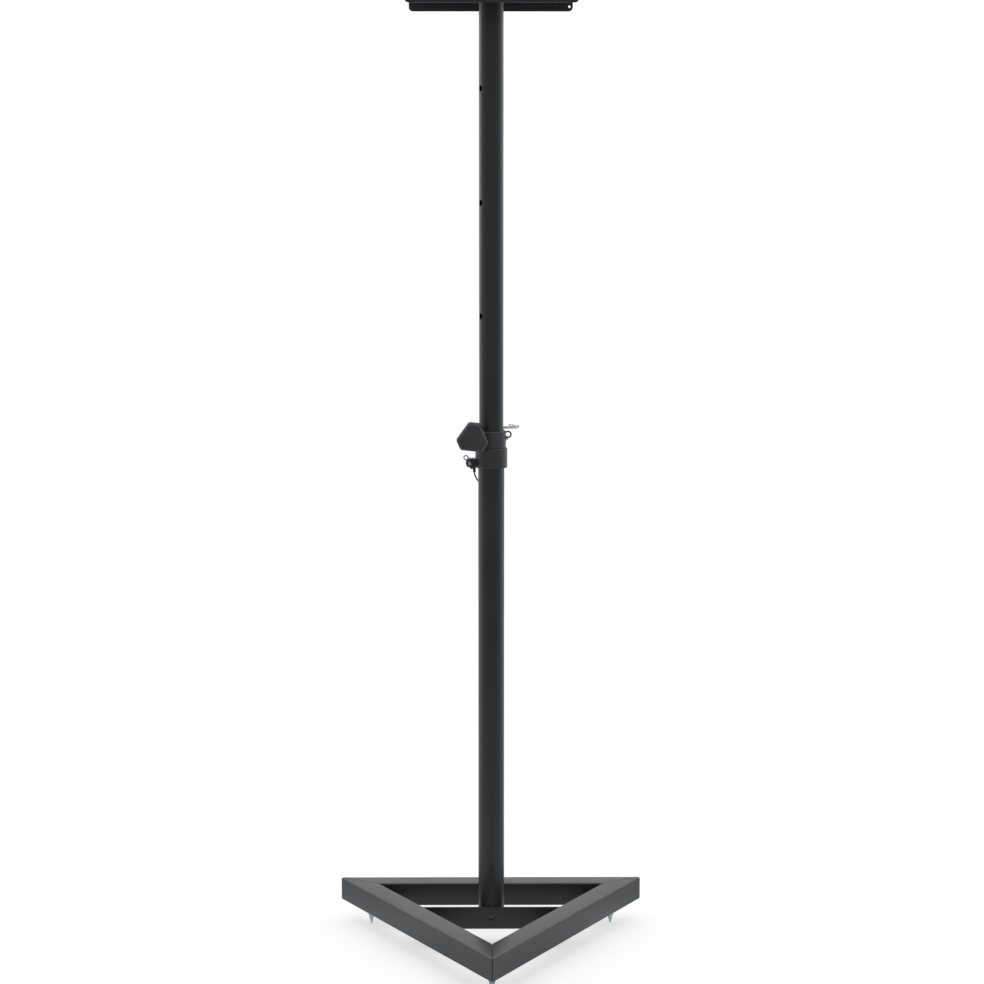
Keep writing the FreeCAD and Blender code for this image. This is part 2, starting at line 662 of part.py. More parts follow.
def make_clamp_bolt():
    """Bolt with its head over the lug at the rear, and its nut in front of the ears."""
    bolt = fuse(hexagon("clamp_width", "clamp_head", z="-clamp_head"),
                cylinder("clamp_thread / 2", "ear_depth + lug_sheet + clamp_nut_height + clamp_tail"))
    lay_along_y(bolt, "ear_back + lug_sheet")
    keep(bolt, "clamp_bolt")
    nut = cut(hexagon("clamp_width", "clamp_nut_height"),
              cylinder("clamp_thread / 2 + run_gap", "clamp_nut_height + 2 * overcut", z="-overcut"))
    lay_along_y(nut, "-ear_back")
    keep(nut, "clamp_nut")


def lay_along_y(item, start):
    """Lay a piece that is built along Z on the clamp bolt's axis, pointing to the front."""
    place(item, "-ear_reach", "pole_y + " + start, "ear_z", "90", (1, 0, 0))


# ---- clamp knob -------------------------------------------------------------------------

def make_knob_parts():
    """Insert, thrust washer, stud and three-lobed knob, all on the stud's axis."""
    insert = cut(along_stud("insert_width / 2", "jaw_face - insert_length", "jaw_face"),
                 along_stud("stud_thread / 2 + run_gap", "0", "jaw_depth"))
    at_stud_height(insert, "stud_insert")
    washer = cut(along_stud("thrust_width / 2", "-(thrust_face + thrust_sheet)", "-thrust_face"),
                 along_stud("stud_thread / 2 + 2 * fit_gap", "-jaw_depth", "0"))
    at_stud_height(washer, "thrust_washer")
    stud = along_stud("stud_thread / 2", "-(hub_face + stud_grip)", "jaw_face + stud_tail")
    at_stud_height(carry(stud), "knob_stud")

    body = new_body("clamp_knob")
    outline = sketch_on(body, "XZ_Plane", "knob_back")
    corners = []
    for lobe in range(3):
        angle = "((knob_lobe_turn + %d) * 1 deg)" % (120 * lobe)
        for sign in ("-", "+"):
            back_sign = "+" if sign == "-" else "-"
            across = "knob_end * cos%s %s knob_end_half * sin%s" % (angle, back_sign, angle)
            up = "knob_end * sin%s %s knob_end_half * cos%s" % (angle, sign, angle)
            corners.append((across, up))
    block = pad(body, polygon(outline, corners), "knob_thickness")
    length = size("knob_thickness")
    back = size("knob_back")

    def corner_edge(middle, run):
        return abs(abs(run.y) - length) < 0.01

    rounded = dress(body, "Fillet", block, edges_where(block, corner_edge), "knob_corner")

    def face_edge(middle, run):
        return abs(middle.y + back + length) < 0.01

    faced = dress(body, "Chamfer", rounded, edges_where(rounded, face_edge), "knob_face_edge")

    def back_edge(middle, run):
        return abs(middle.y + back) < 0.01

    dress(body, "Fillet", faced, edges_where(faced, back_edge), "knob_back_edge")
    hollow = circle(sketch_on(body, "XZ_Plane", "knob_back"), "knob_hollow / 2")
    pocket(body, hollow, "knob_hollow_depth", along_normal=True)
    hub = circle(sketch_on(body, "XZ_Plane", "hub_face"), "knob_hub_width / 2")
    pad(body, hub, "knob_back - hub_face + knob_hollow_depth")
    bore = circle(sketch_on(body, "XZ_Plane", "hub_face"), "stud_thread / 2 + fit_gap")
    pocket(body, bore, "stud_grip + fit_gap", along_normal=True)
    place(body, "-knob_offset", "pole_y", "stud_z")


def at_stud_height(item, label):
    keep(place(item, y="pole_y", z="stud_z"), label)


# ---- upper tube -------------------------------------------------------------------------

def make_upper_tube():
    body = new_body("upper_tube")
    ring = sketch_on(body, "XY_Plane")
    circle(ring, "upper_width / 2")
    circle(ring, "upper_bore / 2")
    pad(body, ring, "upper_length")
    for along_normal in (True, False):
        holes = sketch_on(body, "XZ_Plane")
        for index in range(int(size("hole_count"))):
            circle(holes, "hole_width / 2", up="hole_start + %d * hole_pitch" % index)
        pocket(body, holes, along_normal=along_normal)
    place(body, y="pole_y", z="upper_bottom", turn="-pin_azimuth")


def make_end_glide():
    """Plastic glide on the lower end of the upper tube, guided by the lower tube."""
    body = new_body("end_glide")
    outline = sketch_on(body, "XZ_Plane")
    rim = "lower_bore / 2 - run_gap"
    spigot = "upper_bore / 2 - run_gap"
    polygon(outline, [("glide_bore / 2", "-glide_flange"), (rim, "-glide_flange"),
                      (rim, "-face_gap"), (spigot, "-face_gap"), (spigot, "glide_spigot"),
                      ("glide_bore / 2", "glide_spigot")])
    revolve(body, outline)
    place(body, y="pole_y", z="upper_bottom")


def plate_screw_point(index):
    angle = "(%d * 360 / plate_screw_count) * 1 deg" % index
    return "plate_screw_circle / 2 * cos(%s)" % angle, "plate_screw_circle / 2 * sin(%s)" % angle


def make_top_plug():
    """Steel plug in the head of the upper tube, tapped for the plate screws."""
    holes = []
    for index in range(int(size("plate_screw_count"))):
        across, up = plate_screw_point(index)
        hole = cylinder("plate_screw_thread / 2 + run_gap", "plate_screw_length",
                        across, up, "top_plug_height - plate_screw_length + plate_sheet / 2")
        holes.append(hole)
    plug = cut(cylinder("upper_bore / 2 - fit_gap", "top_plug_height"), *holes)
    keep(place(plug, y="pole_y", z="upper_top - top_plug_height"), "top_plug")


def make_plate_screws():
    """Countersunk screws that hold the plate on the plug."""
    for index in range(int(size("plate_screw_count"))):
        across, up = plate_screw_point(index)
        head = cone("plate_screw_thread / 2", "plate_screw_width / 2", "plate_screw_head",
                    "-plate_screw_head")
        shank = cylinder("plate_screw_thread / 2", "plate_screw_length - plate_screw_head",
                         z="-plate_screw_length")
        key = hexagon("plate_screw_key", "plate_screw_head + overcut", z="-0.7 * plate_screw_head")
        screw = cut(fuse(head, shank), key)
        keep(place(screw, across, "pole_y + " + up, "plate_top"), "plate_screw_%d" % (index + 1))


def make_top_plate():
    """Sheet plate with its front and rear edges folded down."""
    body = new_body("top_plate")
    section = sketch_on(body, "YZ_Plane")
    half, inner = "plate_side / 2", "(plate_side / 2 - plate_sheet)"
    polygon(section, [("-" + half, "-plate_lip"), ("-" + half, "0"), (half, "0"),
                      (half, "-plate_lip"), (inner, "-plate_lip"), (inner, "-plate_sheet"),
                      ("-" + inner, "-plate_sheet"), ("-" + inner, "-plate_lip")])
    channel = pad(body, section, "plate_side", symmetric=True)
    reach = size("plate_side") / 2
    sheet_z = size("plate_sheet")

    def outer_bend(middle, run):
        return abs(run.x) > 1 and near_any(abs(middle.y), [reach]) and abs(middle.z) < 0.01

    def inner_bend(middle, run):
        at = near_any(abs(middle.y), [reach - sheet_z]) and near_any(middle.z, [-sheet_z])
        return abs(run.x) > 1 and at

    def lip_end(middle, run):
        low = near_any(middle.z, [-size("plate_lip")]) and near_any(abs(middle.x), [reach])
        return low and abs(run.x) < 0.01

    folded = dress(body, "Fillet", channel, edges_where(channel, outer_bend), "plate_bend")
    folded = dress(body, "Fillet", folded, edges_where(folded, inner_bend), "plate_inner_bend")
    dress(body, "Fillet", folded, edges_where(folded, lip_end), "lip_corner")
    holes = sketch_on(body, "XY_Plane")
    for side_x in ("", "-"):
        for side_y in ("", "-"):
            circle(holes, "fixing_width / 2", side_x + "fixing_pitch / 2", side_y + "fixing_pitch / 2")
    pocket(body, holes)
    screws = sketch_on(body, "XY_Plane")
    for index in range(int(size("plate_screw_count"))):
        across, up = plate_screw_point(index)
        circle(screws, "plate_screw_thread / 2 + fit_gap", across, up)
    drilled = pocket(body, screws)
    rim = size("plate_screw_thread") / 2 + size("fit_gap")

    def screw_rim(middle, run):
        centre_distance = math.hypot(middle.x, middle.y)
        inside = centre_distance < size("plate_screw_circle") / 2 + 2 * rim
        return inside and abs(middle.z) < 0.01

    dress(body, "Chamfer", drilled, edges_where(drilled, screw_rim), "plate_screw_head")
    hook = sketch_on(body, "XZ_Plane")
    circle(hook, "hang_hole / 2", "plate_side / 2 - hang_inset", "-hang_drop")
    pocket(body, hook, "plate_side / 2 + overcut")
    place(body, y="pole_y", z="plate_top")


def make_plate_mat():
    """Anti-slip mat on the plate, open round the fixing holes."""
    body = new_body("plate_mat")
    outline = sketch_on(body, "XY_Plane")
    half = "mat_side / 2"
    polygon(outline, [("-" + half, "-" + half), (half, "-" + half), (half, half), ("-" + half, half)])
    for side_x in ("", "-"):
        for side_y in ("", "-"):
            circle(outline, "mat_hole / 2", side_x + "fixing_pitch / 2", side_y + "fixing_pitch / 2")
    mat = pad(body, outline, "mat_thickness")
    reach = size("mat_side") / 2

    def corner(middle, run):
        return near_any(abs(middle.x), [reach]) and near_any(abs(middle.y), [reach])

    dress(body, "Fillet", mat, edges_where(mat, corner), "mat_corner")
    place(body, y="pole_y", z="plate_top")


# ---- locking pin ------------------------------------------------------------------------

def make_locking_pin():
    """Round pin through the upper tube, with a cross hole in its head for the ring."""
    body = new_body("locking_pin")
    outline = sketch_on(body, "XY_Plane")
    radius, slim = "pin_width / 2", "(pin_width / 2 - pin_chamfer)"
    polygon(outline, [("0", "-pin_tip_reach"), (slim, "-pin_tip_reach"),
                      (radius, "-pin_tip_reach + pin_chamfer"),
                      (radius, "pin_head_reach - pin_chamfer"), (slim, "pin_head_reach"),
                      ("0", "pin_head_reach")])
    revolve(body, outline)
    for along_normal in (True, False):
        hole = sketch_on(body, "YZ_Plane")
        circle(hole, "ring_hole / 2", "ring_hinge")
        pocket(body, hole, along_normal=along_normal)
    place(body, y="pole_y", z="pin_z", turn="-pin_azimuth")


def make_pull_ring():
    """Wire ring through the cross hole, leaning back on the pin's shank."""
    ring = torus("ring_radius", "ring_wire / 2")
    lean = "asin(ring_lift / (ring_offset + ring_radius))"
    place(ring, y="ring_hinge - ring_offset * cos(%s)" % lean, z="ring_offset * sin(%s)" % lean,
          turn="-" + lean, axis=(1, 0, 0))
    keep(place(carry(ring), y="pole_y", z="pin_z", turn="-pin_azimuth"), "pull_ring")


# ---- lanyard ----------------------------------------------------------------------------

def make_lanyard_lug():
    """Stamped lug under the clamp bolt's head with a small eye and a crimp barrel."""
    start = "ear_back"
    end = "ear_back + lug_sheet"
    route_x, route_y, route_z = CORD_ROUTE[0]
    eye_x = "-ear_reach - lug_eye_reach * cos(45 deg)"
    eye_z = "lug_eye_reach * sin(45 deg)"
    barrel_foot = "lower_top + %s - ear_z" % route_z
    barrel = cylinder("barrel_width / 2", "barrel_length", str(route_x), str(route_y), barrel_foot)
    tab = box("-ear_reach", str(route_x), start, end, barrel_foot + " + barrel_length / 2",
              "-clamp_thread / 2")
    bridge = box("%s - barrel_width / 2" % route_x, "%s + barrel_width / 4" % route_x,
                 start, str(route_y), barrel_foot + " + barrel_length / 2",
                 barrel_foot + " + barrel_length")
    solid = fuse(forward_cylinder("lug_washer / 2", start, end, "-ear_reach"),
                 forward_cylinder("lug_eye / 2", start, end, eye_x, eye_z), tab, bridge, barrel)
    lug = cut(solid, forward_cylinder("clamp_thread / 2 + 2 * fit_gap", "0", "ear_depth", "-ear_reach"),
              forward_cylinder("lug_eye_hole / 2", "0", "ear_depth", eye_x, eye_z))
    keep(place(lug, y="pole_y", z="ear_z"), "lanyard_lug")


def make_lanyard_eye():
    eye = place(torus("eye_radius", "eye_wire / 2"), "eye_reach", turn="90", axis=(1, 0, 0))
    keep(place(carry(eye), y="pole_y", z="eye_z"), "lanyard_eye")


def route_points():
    """The cord's route in the row's frame."""
    return [FreeCAD.Vector(x, y + size("pole_y"), z + size("lower_top")) for x, y, z in CORD_ROUTE]


def make_lanyard_end():
    """Loop through the lanyard eye with the ferrule that grips the cord's end."""
    points = route_points()
    axis = (points[-1] - points[-2]).normalize()
    ferrule = Part.makeCylinder(size("ferrule_width") / 2, size("ferrule_length"), points[-1], axis)
    bottom = size("eye_z") - size("eye_radius")
    centre = FreeCAD.Vector(size("eye_reach"), size("pole_y") + size("loop_shift"), bottom)
    loop = Part.makeTorus(size("loop_radius"), size("loop_wire") / 2, centre, FreeCAD.Vector(1, 0, 0))
    item = doc.addObject("Part::Feature", "lanyard_end")
    item.Shape = ferrule.fuse(loop)
    keep(item, "lanyard_end")


def cord_path(points):
    """Straight runs joined by tangent arcs as large as the runs allow."""
    edges = []
    start = points[0]
    for before, corner, after in zip(points, points[1:], points[2:]):
        back, ahead = before - corner, after - corner
        turn = math.pi - back.getAngle(ahead)
        shorter = min(back.Length, ahead.Length)
        radius = 0.45 * shorter / math.tan(turn / 2)
        setback = 0.45 * shorter
        first = corner + back.normalize() * setback
        last = corner + ahead.normalize() * setback
        bisector = (back + ahead).normalize()
        middle = corner + bisector * (radius / math.cos(turn / 2) - radius)
        edges.append(Part.LineSegment(start, first).toShape())
        edges.append(Part.Arc(first, middle, last).toShape())
        print("cord: turn %.0f deg, radius %.1f mm" % (math.degrees(turn), radius))
        start = last
    edges.append(Part.LineSegment(start, points[-1]).toShape())
    return Part.Wire(edges)


def make_lanyard_cord():
    points = route_points()
    path = cord_path(points)
    radius = size("cord_width") / 2
    section = Part.Wire(Part.makeCircle(radius, points[0], points[1] - points[0]))
    tube = path.makePipeShell([section], True, True)
    print("cord: length %.1f mm, volume %.1f of %.1f mm3"
          % (path.Length, tube.Volume, math.pi * radius ** 2 * path.Length))
    item = doc.addObject("Part::Feature", "lanyard_cord")
    item.Shape = tube
    keep(item, "lanyard_cord")


# ---- build, check and write -------------------------------------------------------------

make_base_tube("base_tube_rear", 0)
make_base_tube("base_tube_left", 120)
make_base_tube("base_tube_right", 240)
for corner_index, corner_name in enumerate(CORNERS):
    make_corner_fittings(corner_index, corner_name)
make_cross_bracket()
make_pole_foot()
make_lower_tube()
make_collar()
make_collar_bush()
make_clamp_bolt()
make_knob_parts()
make_upper_tube()
make_end_glide()
make_top_plug()
make_top_plate()
make_plate_screws()
make_plate_mat()
make_locking_pin()
make_pull_ring()
make_lanyard_lug()
make_lanyard_eye()
make_lanyard_end()
make_lanyard_cord()
doc.recompute()

for item in doc.Objects:
    if "Invalid" in item.State or "Error" in item.State:
        raise RuntimeError("%s (%s) failed: %s" % (item.Name, item.Label, item.State))
for item in parts:
    if item.Shape.isNull() or not item.Shape.isValid() or not item.Shape.Solids:
        raise RuntimeError("%s has no valid solid" % item.Label)

os.makedirs(OUT, exist_ok=True)
for item in parts:
    item.Shape.exportStep(os.path.join(OUT, item.Label + ".step"))
print("wrote %d parts" % len(parts))
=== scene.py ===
import json
import math

import bmesh
import bpy
from bpy.props import FloatProperty, FloatVectorProperty, IntProperty
from mathutils import Matrix, Vector


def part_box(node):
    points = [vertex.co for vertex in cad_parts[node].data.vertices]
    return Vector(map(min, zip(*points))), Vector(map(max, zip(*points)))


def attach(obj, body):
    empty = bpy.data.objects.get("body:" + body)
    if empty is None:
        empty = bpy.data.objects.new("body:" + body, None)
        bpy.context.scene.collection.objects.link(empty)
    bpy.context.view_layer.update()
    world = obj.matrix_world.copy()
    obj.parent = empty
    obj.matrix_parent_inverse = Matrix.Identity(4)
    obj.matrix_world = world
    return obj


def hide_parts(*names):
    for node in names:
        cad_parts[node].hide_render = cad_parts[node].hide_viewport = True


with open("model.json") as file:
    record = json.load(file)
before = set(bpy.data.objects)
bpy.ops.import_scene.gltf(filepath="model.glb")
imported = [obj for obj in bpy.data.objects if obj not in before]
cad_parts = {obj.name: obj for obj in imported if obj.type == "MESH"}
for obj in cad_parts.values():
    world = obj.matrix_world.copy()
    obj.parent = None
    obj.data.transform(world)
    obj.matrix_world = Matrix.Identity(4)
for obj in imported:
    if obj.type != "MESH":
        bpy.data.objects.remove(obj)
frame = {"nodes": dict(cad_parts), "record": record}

bl_info = {
    "name": "Speaker stand finish", "version": (1, 0, 0), "blender": (4, 5, 0),
    "location": "3D View > Sidebar > Speaker stand",
    "description": "Dresses the solids of a telescopic speaker stand with its visible pieces and finishes",
    "category": "Object",}

MM = 0.001
UP = Vector((0, 0, 1))


# ---- sizes read from the solids ---------------------------------------------------------

def centre(node):
    low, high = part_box(node)
    return (low + high) / 2


def span(node):
    low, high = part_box(node)
    return high - low


POLE = centre("lower_tube").xy.to_3d()
FLOOR_TO_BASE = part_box("base_tube_rear")[0].z
REAR_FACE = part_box("base_tube_rear")[1].y - POLE.y
BASE_SIDE = span("base_tube_rear").x
TUBE_SIDE = span("base_tube_rear").z
LOWER_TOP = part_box("lower_tube")[1].z
COLLAR_LOW, COLLAR_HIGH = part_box("collar")[0].z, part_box("collar")[1].z
STUD_AXIS = centre("knob_stud")
CORNERS = ("right", "left", "front")

# direction of the locking pin's head, seen from above
PIN_AZIMUTH = math.radians(62)


def linear(code):
    """sRGB hex value to a linear colour with alpha."""
    values = [int(code[i:i + 2], 16) / 255 for i in (0, 2, 4)]
    return [v / 12.92 if v <= 0.04045 else ((v + 0.055) / 1.055) ** 2.4 for v in values] + [1.0]


def colour_property(name, code, description):
    return FloatVectorProperty(name=name, description=description, subtype="COLOR", size=4,
                               min=0, max=1, default=linear(code))


def length_property(name, millimetres, description):
    return FloatProperty(name=name, description=description, subtype="DISTANCE", unit="LENGTH",
                         min=0, default=millimetres * MM)


# ---- settings ---------------------------------------------------------------------------

class SPKSTAND_PG_finishes(bpy.types.PropertyGroup):
    """Colours and grain of the finishes"""
    coat: colour_property("Powder coat", "1f2125", "Satin black powder coat on tubes and plate")
    casting: colour_property("Casting coat", "2e2f33", "Black coat on the cast collar")
    nylon: colour_property("Nylon", "323236", "Moulded black nylon of knob and bush")
    black: colour_property("Black oxide", "1c1d1f", "Blackened steel of the collar's fasteners")
    zinc: colour_property("Zinc plate", "a9abad", "Zinc plate on nuts, bolts and spikes")
    bright: colour_property("Nickel plate", "ebeae7", "Bright plate on the pin and its ring")
    brass: colour_property("Brass", "b8955a", "Turned brass of insert and pad")
    rubber: colour_property("Rubber", "1b1b1c", "Anti-slip mat")
    cord: colour_property("Cord sheath", "1d1e20", "Braided sheath of the lanyard")
    peel: length_property("Coat texture", 0.9, "Width of one wave of the powder coat's orange peel")
    grain: length_property("Moulded grain", 0.5, "Width of one grain of the moulded surface")


class SPKSTAND_PG_base(bpy.types.PropertyGroup):
    """Mitred base frame and its welds"""
    edge: length_property("Tube edge", 2.5, "Outer edge radius of the square tube")
    seam: length_property("Seam width", 1.2, "Half width of the groove along a mitre")
    seam_depth: length_property("Seam depth", 0.8, "Depth of the groove along a mitre")
    cut_edge: length_property("Cut edge", 0.9, "Rounding of the plate's cut edges")
    sides: IntProperty(name="Sides", description="Number of tubes in the base", default=3, min=3)
    ripple: length_property("Weld ripple", 2.2, "Spacing of the ripples of a weld bead")
    bead: length_property("Weld width", 5.0, "Width of a weld bead")


class SPKSTAND_PG_fasteners(bpy.types.PropertyGroup):
    """Spikes, nuts and bolts"""
    chamfer: length_property("Hex chamfer", 0.5, "Chamfer at the corners of a hexagon")
    pitch: length_property("Spike thread pitch", 1.25, "Pitch of the thread on spikes and stud")
    thread: length_property("Thread depth", 0.75, "Depth of the thread on spikes and stud")


class SPKSTAND_PG_knob(bpy.types.PropertyGroup):
    """Three-lobed clamp knob"""
    end: length_property("Lobe end", 22.7, "Axis to the flat end of a lobe")
    flank: length_property("Flank", 18.2, "Axis to the flank between two lobes")
    corner: length_property("Lobe corner", 5.0, "Radius of a lobe's corners")
    turn: FloatProperty(
        name="First lobe", description="Angle of the first lobe above the horizontal",
        subtype="ANGLE", unit="ROTATION", default=math.radians(84))
    back: length_property("Back", 22.6, "Back of the lobes in front of the pole's axis")
    thickness: length_property("Thickness", 17.0, "Thickness of the lobes along the axis")
    bevel: length_property("Face bevel", 3.2, "Width and depth of the bevel round the face")
    back_edge: length_property("Back edge", 1.5, "Edge radius of the back")
    soft: length_property("Softening", 0.45, "How far the bevel's corners are rounded off")
    hub: length_property("Hub", 15.0, "Diameter of the hub")
    hollow: length_property("Hollow", 26.0, "Diameter of the hollow round the hub")
    depth: length_property("Hollow depth", 9.0, "Depth of the hollow")
    bore: length_property("Bore", 8.2, "Diameter of the stud's bore")
    grip: length_property("Grip", 16.1, "Depth of the bore from the hub's face")


class SPKSTAND_PG_mat(bpy.types.PropertyGroup):
    """Anti-slip mat"""
    stud_pitch: length_property("Stud pitch", 7.0, "Spacing of the mat's studs")
    stud_width: length_property("Stud width", 4.4, "Diameter of a stud")
    stud_height: length_property("Stud height", 0.6, "Height of a stud")


class SPKSTAND_PG_lanyard(bpy.types.PropertyGroup):
    """Lanyard cord and its fittings"""
    width: length_property("Cord width", 2.2, "Diameter of the cord")
    lay: length_property("Braid length", 3.2, "Length of one turn of the braid")


class SPKSTAND_PG_stage(bpy.types.PropertyGroup):
    """Camera, floor and light"""
    distance: length_property("Camera distance", 3656, "Camera to the pole's axis, along the floor")
    height: length_property("Camera height", 1181, "Camera above the floor")
    pitch: FloatProperty(name="Camera pitch", description="How far the camera looks down",
                         subtype="ANGLE", unit="ROTATION", default=math.radians(7.79))
    orbit: FloatProperty(name="Camera orbit", description="Turn of the camera round the pole",
                         subtype="ANGLE", unit="ROTATION", default=math.radians(-0.32))
    aim: FloatProperty(name="Camera aim", description="Turn of the camera to the right of the pole",
                       subtype="ANGLE", unit="ROTATION", default=math.radians(0.017))
    lens: FloatProperty(name="Lens", description="Focal length on a 36 mm frame, in millimetres",
                        default=92.82, min=1)
    floor: colour_property("Floor", "f4f4f3", "Pale studio floor")


SETTINGS = {
    "finishes": SPKSTAND_PG_finishes,
    "base": SPKSTAND_PG_base,
    "fasteners": SPKSTAND_PG_fasteners,
    "knob": SPKSTAND_PG_knob,
    "mat": SPKSTAND_PG_mat,
    "lanyard": SPKSTAND_PG_lanyard,
    "stage": SPKSTAND_PG_stage,
}


def settings(group):
    return getattr(bpy.context.scene, "spkstand_" + group)


# ---- nodes ------------------------------------------------------------------------------

def add(tree, kind, inputs=None, out=None, **own):
    """One node with its own settings and its inputs, as values or as links from sockets.

    Inputs go by name or in their order. It gives the node, or its output named by out.
    """
    node = tree.nodes.new(kind)
    for name, value in own.items():
        setattr(node, name, value)
    pairs = inputs.items() if isinstance(inputs, dict) else enumerate(inputs or ())
    for key, value in pairs:
        if isinstance(value, bpy.types.NodeSocket):
            tree.links.new(value, node.inputs[key])
        else:
            node.inputs[key].default_value = value
    return node.outputs[out] if out else node


def new_material(name):
    material = bpy.data.materials.new(name)
    material.use_nodes = True
    material.node_tree.nodes.clear()
    return material, material.node_tree


def surface(tree, shader_inputs, height=None, relief=0.0):
    """Principled surface with an optional bump of a given relief in metres."""
    inputs = dict(shader_inputs)
    if height is not None:
        bump = add(tree, "ShaderNodeBump", {"Height": height, "Distance": relief, "Strength": 1.0})
        inputs["Normal"] = bump.outputs["Normal"]
    shader = add(tree, "ShaderNodeBsdfPrincipled", inputs)
    add(tree, "ShaderNodeOutputMaterial", {"Surface": shader.outputs["BSDF"]})
    return shader


def object_point(tree, scale=(1, 1, 1), turn=(0, 0, 0), shift=(0, 0, 0)):
    """Object coordinates moved by shift, then turned and scaled."""
    place = add(tree, "ShaderNodeTexCoord").outputs["Object"]
    moved = add(tree, "ShaderNodeVectorMath", {0: place, 1: shift}, operation="SUBTRACT")
    return add(tree, "ShaderNodeMapping", {"Vector": moved.outputs["Vector"], "Rotation": turn,
                                           "Scale": scale}).outputs["Vector"]


def shade_of(colour, share):
    """The same colour, lighter or darker."""
    return [min(1.0, c * share) for c in colour[:3]] + [1.0]


def powder_coat():
    """Polyester powder coat, sprayed and baked on steel.

    It flows into a fine orange peel, so a highlight has a soft, slightly uneven edge, and handling leaves
    faint duller patches.
    """
    look = settings("finishes")
    material, tree = new_material("powder_coat_satin_black")
    spot = object_point(tree)
    peel = add(tree, "ShaderNodeTexNoise", {"Vector": spot, "Scale": 1 / look.peel, "Detail": 2.0,
                                            "Roughness": 0.45})
    speck = add(tree, "ShaderNodeTexVoronoi", {"Vector": spot, "Scale": 1 / (0.45 * look.peel)})
    patch = add(tree, "ShaderNodeTexNoise", {"Vector": spot, "Scale": 9.0, "Detail": 3.0,
                                             "Roughness": 0.6})
    mixed = add(tree, "ShaderNodeMath", {0: speck.outputs["Distance"], 1: 0.35,
                                         2: peel.outputs["Fac"]}, operation="MULTIPLY_ADD")
    worn = add(tree, "ShaderNodeMapRange", (patch.outputs["Fac"], 0.35, 0.7, 0.0, 1.0), "Result")
    base = add(tree, "ShaderNodeMix", {"Factor": worn, "A": look.coat,
                                       "B": shade_of(look.coat, 1.14)}, "Result", data_type="RGBA")
    rough = add(tree, "ShaderNodeMapRange", (patch.outputs["Fac"], 0.3, 0.75, 0.34, 0.42), "Result")
    surface(
        tree, {"Base Color": base, "Roughness": rough, "IOR": 1.57}, mixed.outputs["Value"],
        0.00002)
    return material


def casting_coat():
    """Black coat on a die-cast collar: a little coarser than the tube's, over blasted metal."""
    look = settings("finishes")
    material, tree = new_material("coated_die_casting")
    spot = object_point(tree)
    blast = add(tree, "ShaderNodeTexNoise", {"Vector": spot, "Scale": 1 / (0.7 * look.peel),
                                             "Detail": 4.0, "Roughness": 0.6})
    flow = add(tree, "ShaderNodeTexNoise", {"Vector": spot, "Scale": 60.0, "Detail": 2.0})
    base = add(
        tree, "ShaderNodeMix",
        {
            "Factor": flow.outputs["Fac"], "A": shade_of(look.casting, 0.9),
            "B": shade_of(look.casting, 1.15)},
        "Result", data_type="RGBA")
    rough = add(tree, "ShaderNodeMapRange", (flow.outputs["Fac"], 0.3, 0.7, 0.36, 0.46), "Result")
    surface(
        tree, {"Base Color": base, "Roughness": rough, "IOR": 1.52}, blast.outputs["Fac"], 0.00003)
    return material


def moulded_nylon():
    """Glass-filled nylon from an eroded mould: matt, fine even grain, slight flow lines."""
    look = settings("finishes")
    material, tree = new_material("moulded_nylon_black")
    spot = object_point(tree)
    grain = add(tree, "ShaderNodeTexVoronoi", {"Vector": spot, "Scale": 1 / look.grain},
                feature="SMOOTH_F1")
    flow = add(tree, "ShaderNodeTexNoise", {"Vector": spot, "Scale": 90.0, "Detail": 3.0,
                                            "Distortion": 0.6})
    base = add(
        tree, "ShaderNodeMix",
        {
            "Factor": flow.outputs["Fac"], "A": shade_of(look.nylon, 0.92),
            "B": shade_of(look.nylon, 1.12)},
        "Result", data_type="RGBA")
    rough = add(tree, "ShaderNodeMapRange", (flow.outputs["Fac"], 0.3, 0.7, 0.42, 0.52), "Result")
    surface(tree, {"Base Color": base, "Roughness": rough, "IOR": 1.53},
            grain.outputs["Distance"], 0.00002)
    return material


def zinc_plate():
    """Zinc electroplate with a clear passivation: cool grey metal with a faint blue tint."""
    look = settings("finishes")
    material, tree = new_material("zinc_plated_steel")
    spot = object_point(tree)
    cloud = add(tree, "ShaderNodeTexNoise", {"Vector": spot, "Scale": 140.0, "Detail": 4.0,
                                             "Roughness": 0.6})
    drawn = add(tree, "ShaderNodeTexNoise", {"Vector": object_point(tree, scale=(1, 1, 0.12)),
                                             "Scale": 1800.0, "Detail": 2.0})
    tint = add(tree, "ShaderNodeMapRange", (cloud.outputs["Fac"], 0.35, 0.65, 0.0, 1.0), "Result")
    base = add(tree, "ShaderNodeMix", {"Factor": tint, "A": look.zinc, "B": linear("9da3ad")},
               "Result", data_type="RGBA")
    rough = add(tree, "ShaderNodeMapRange", (cloud.outputs["Fac"], 0.3, 0.7, 0.3, 0.44), "Result")
    surface(tree, {"Base Color": base, "Metallic": 1.0, "Roughness": rough},
            drawn.outputs["Fac"], 0.000008)
    return material


def black_oxide():
    """Blackened and oiled steel: dark, with a soft gloss and browner rubbed patches."""
    look = settings("finishes")
    material, tree = new_material("black_oxide_steel")
    spot = object_point(tree)
    rubbed = add(tree, "ShaderNodeTexNoise", {"Vector": spot, "Scale": 260.0, "Detail": 4.0,
                                              "Roughness": 0.6})
    base = add(
        tree, "ShaderNodeMix",
        {"Factor": rubbed.outputs["Fac"], "A": shade_of(look.black, 0.7), "B": linear("2a2725")},
        "Result", data_type="RGBA")
    rough = add(tree, "ShaderNodeMapRange", (rubbed.outputs["Fac"], 0.3, 0.7, 0.3, 0.46), "Result")
    surface(tree, {"Base Color": base, "Roughness": rough, "IOR": 1.6},
            rubbed.outputs["Fac"], 0.00001)
    return material


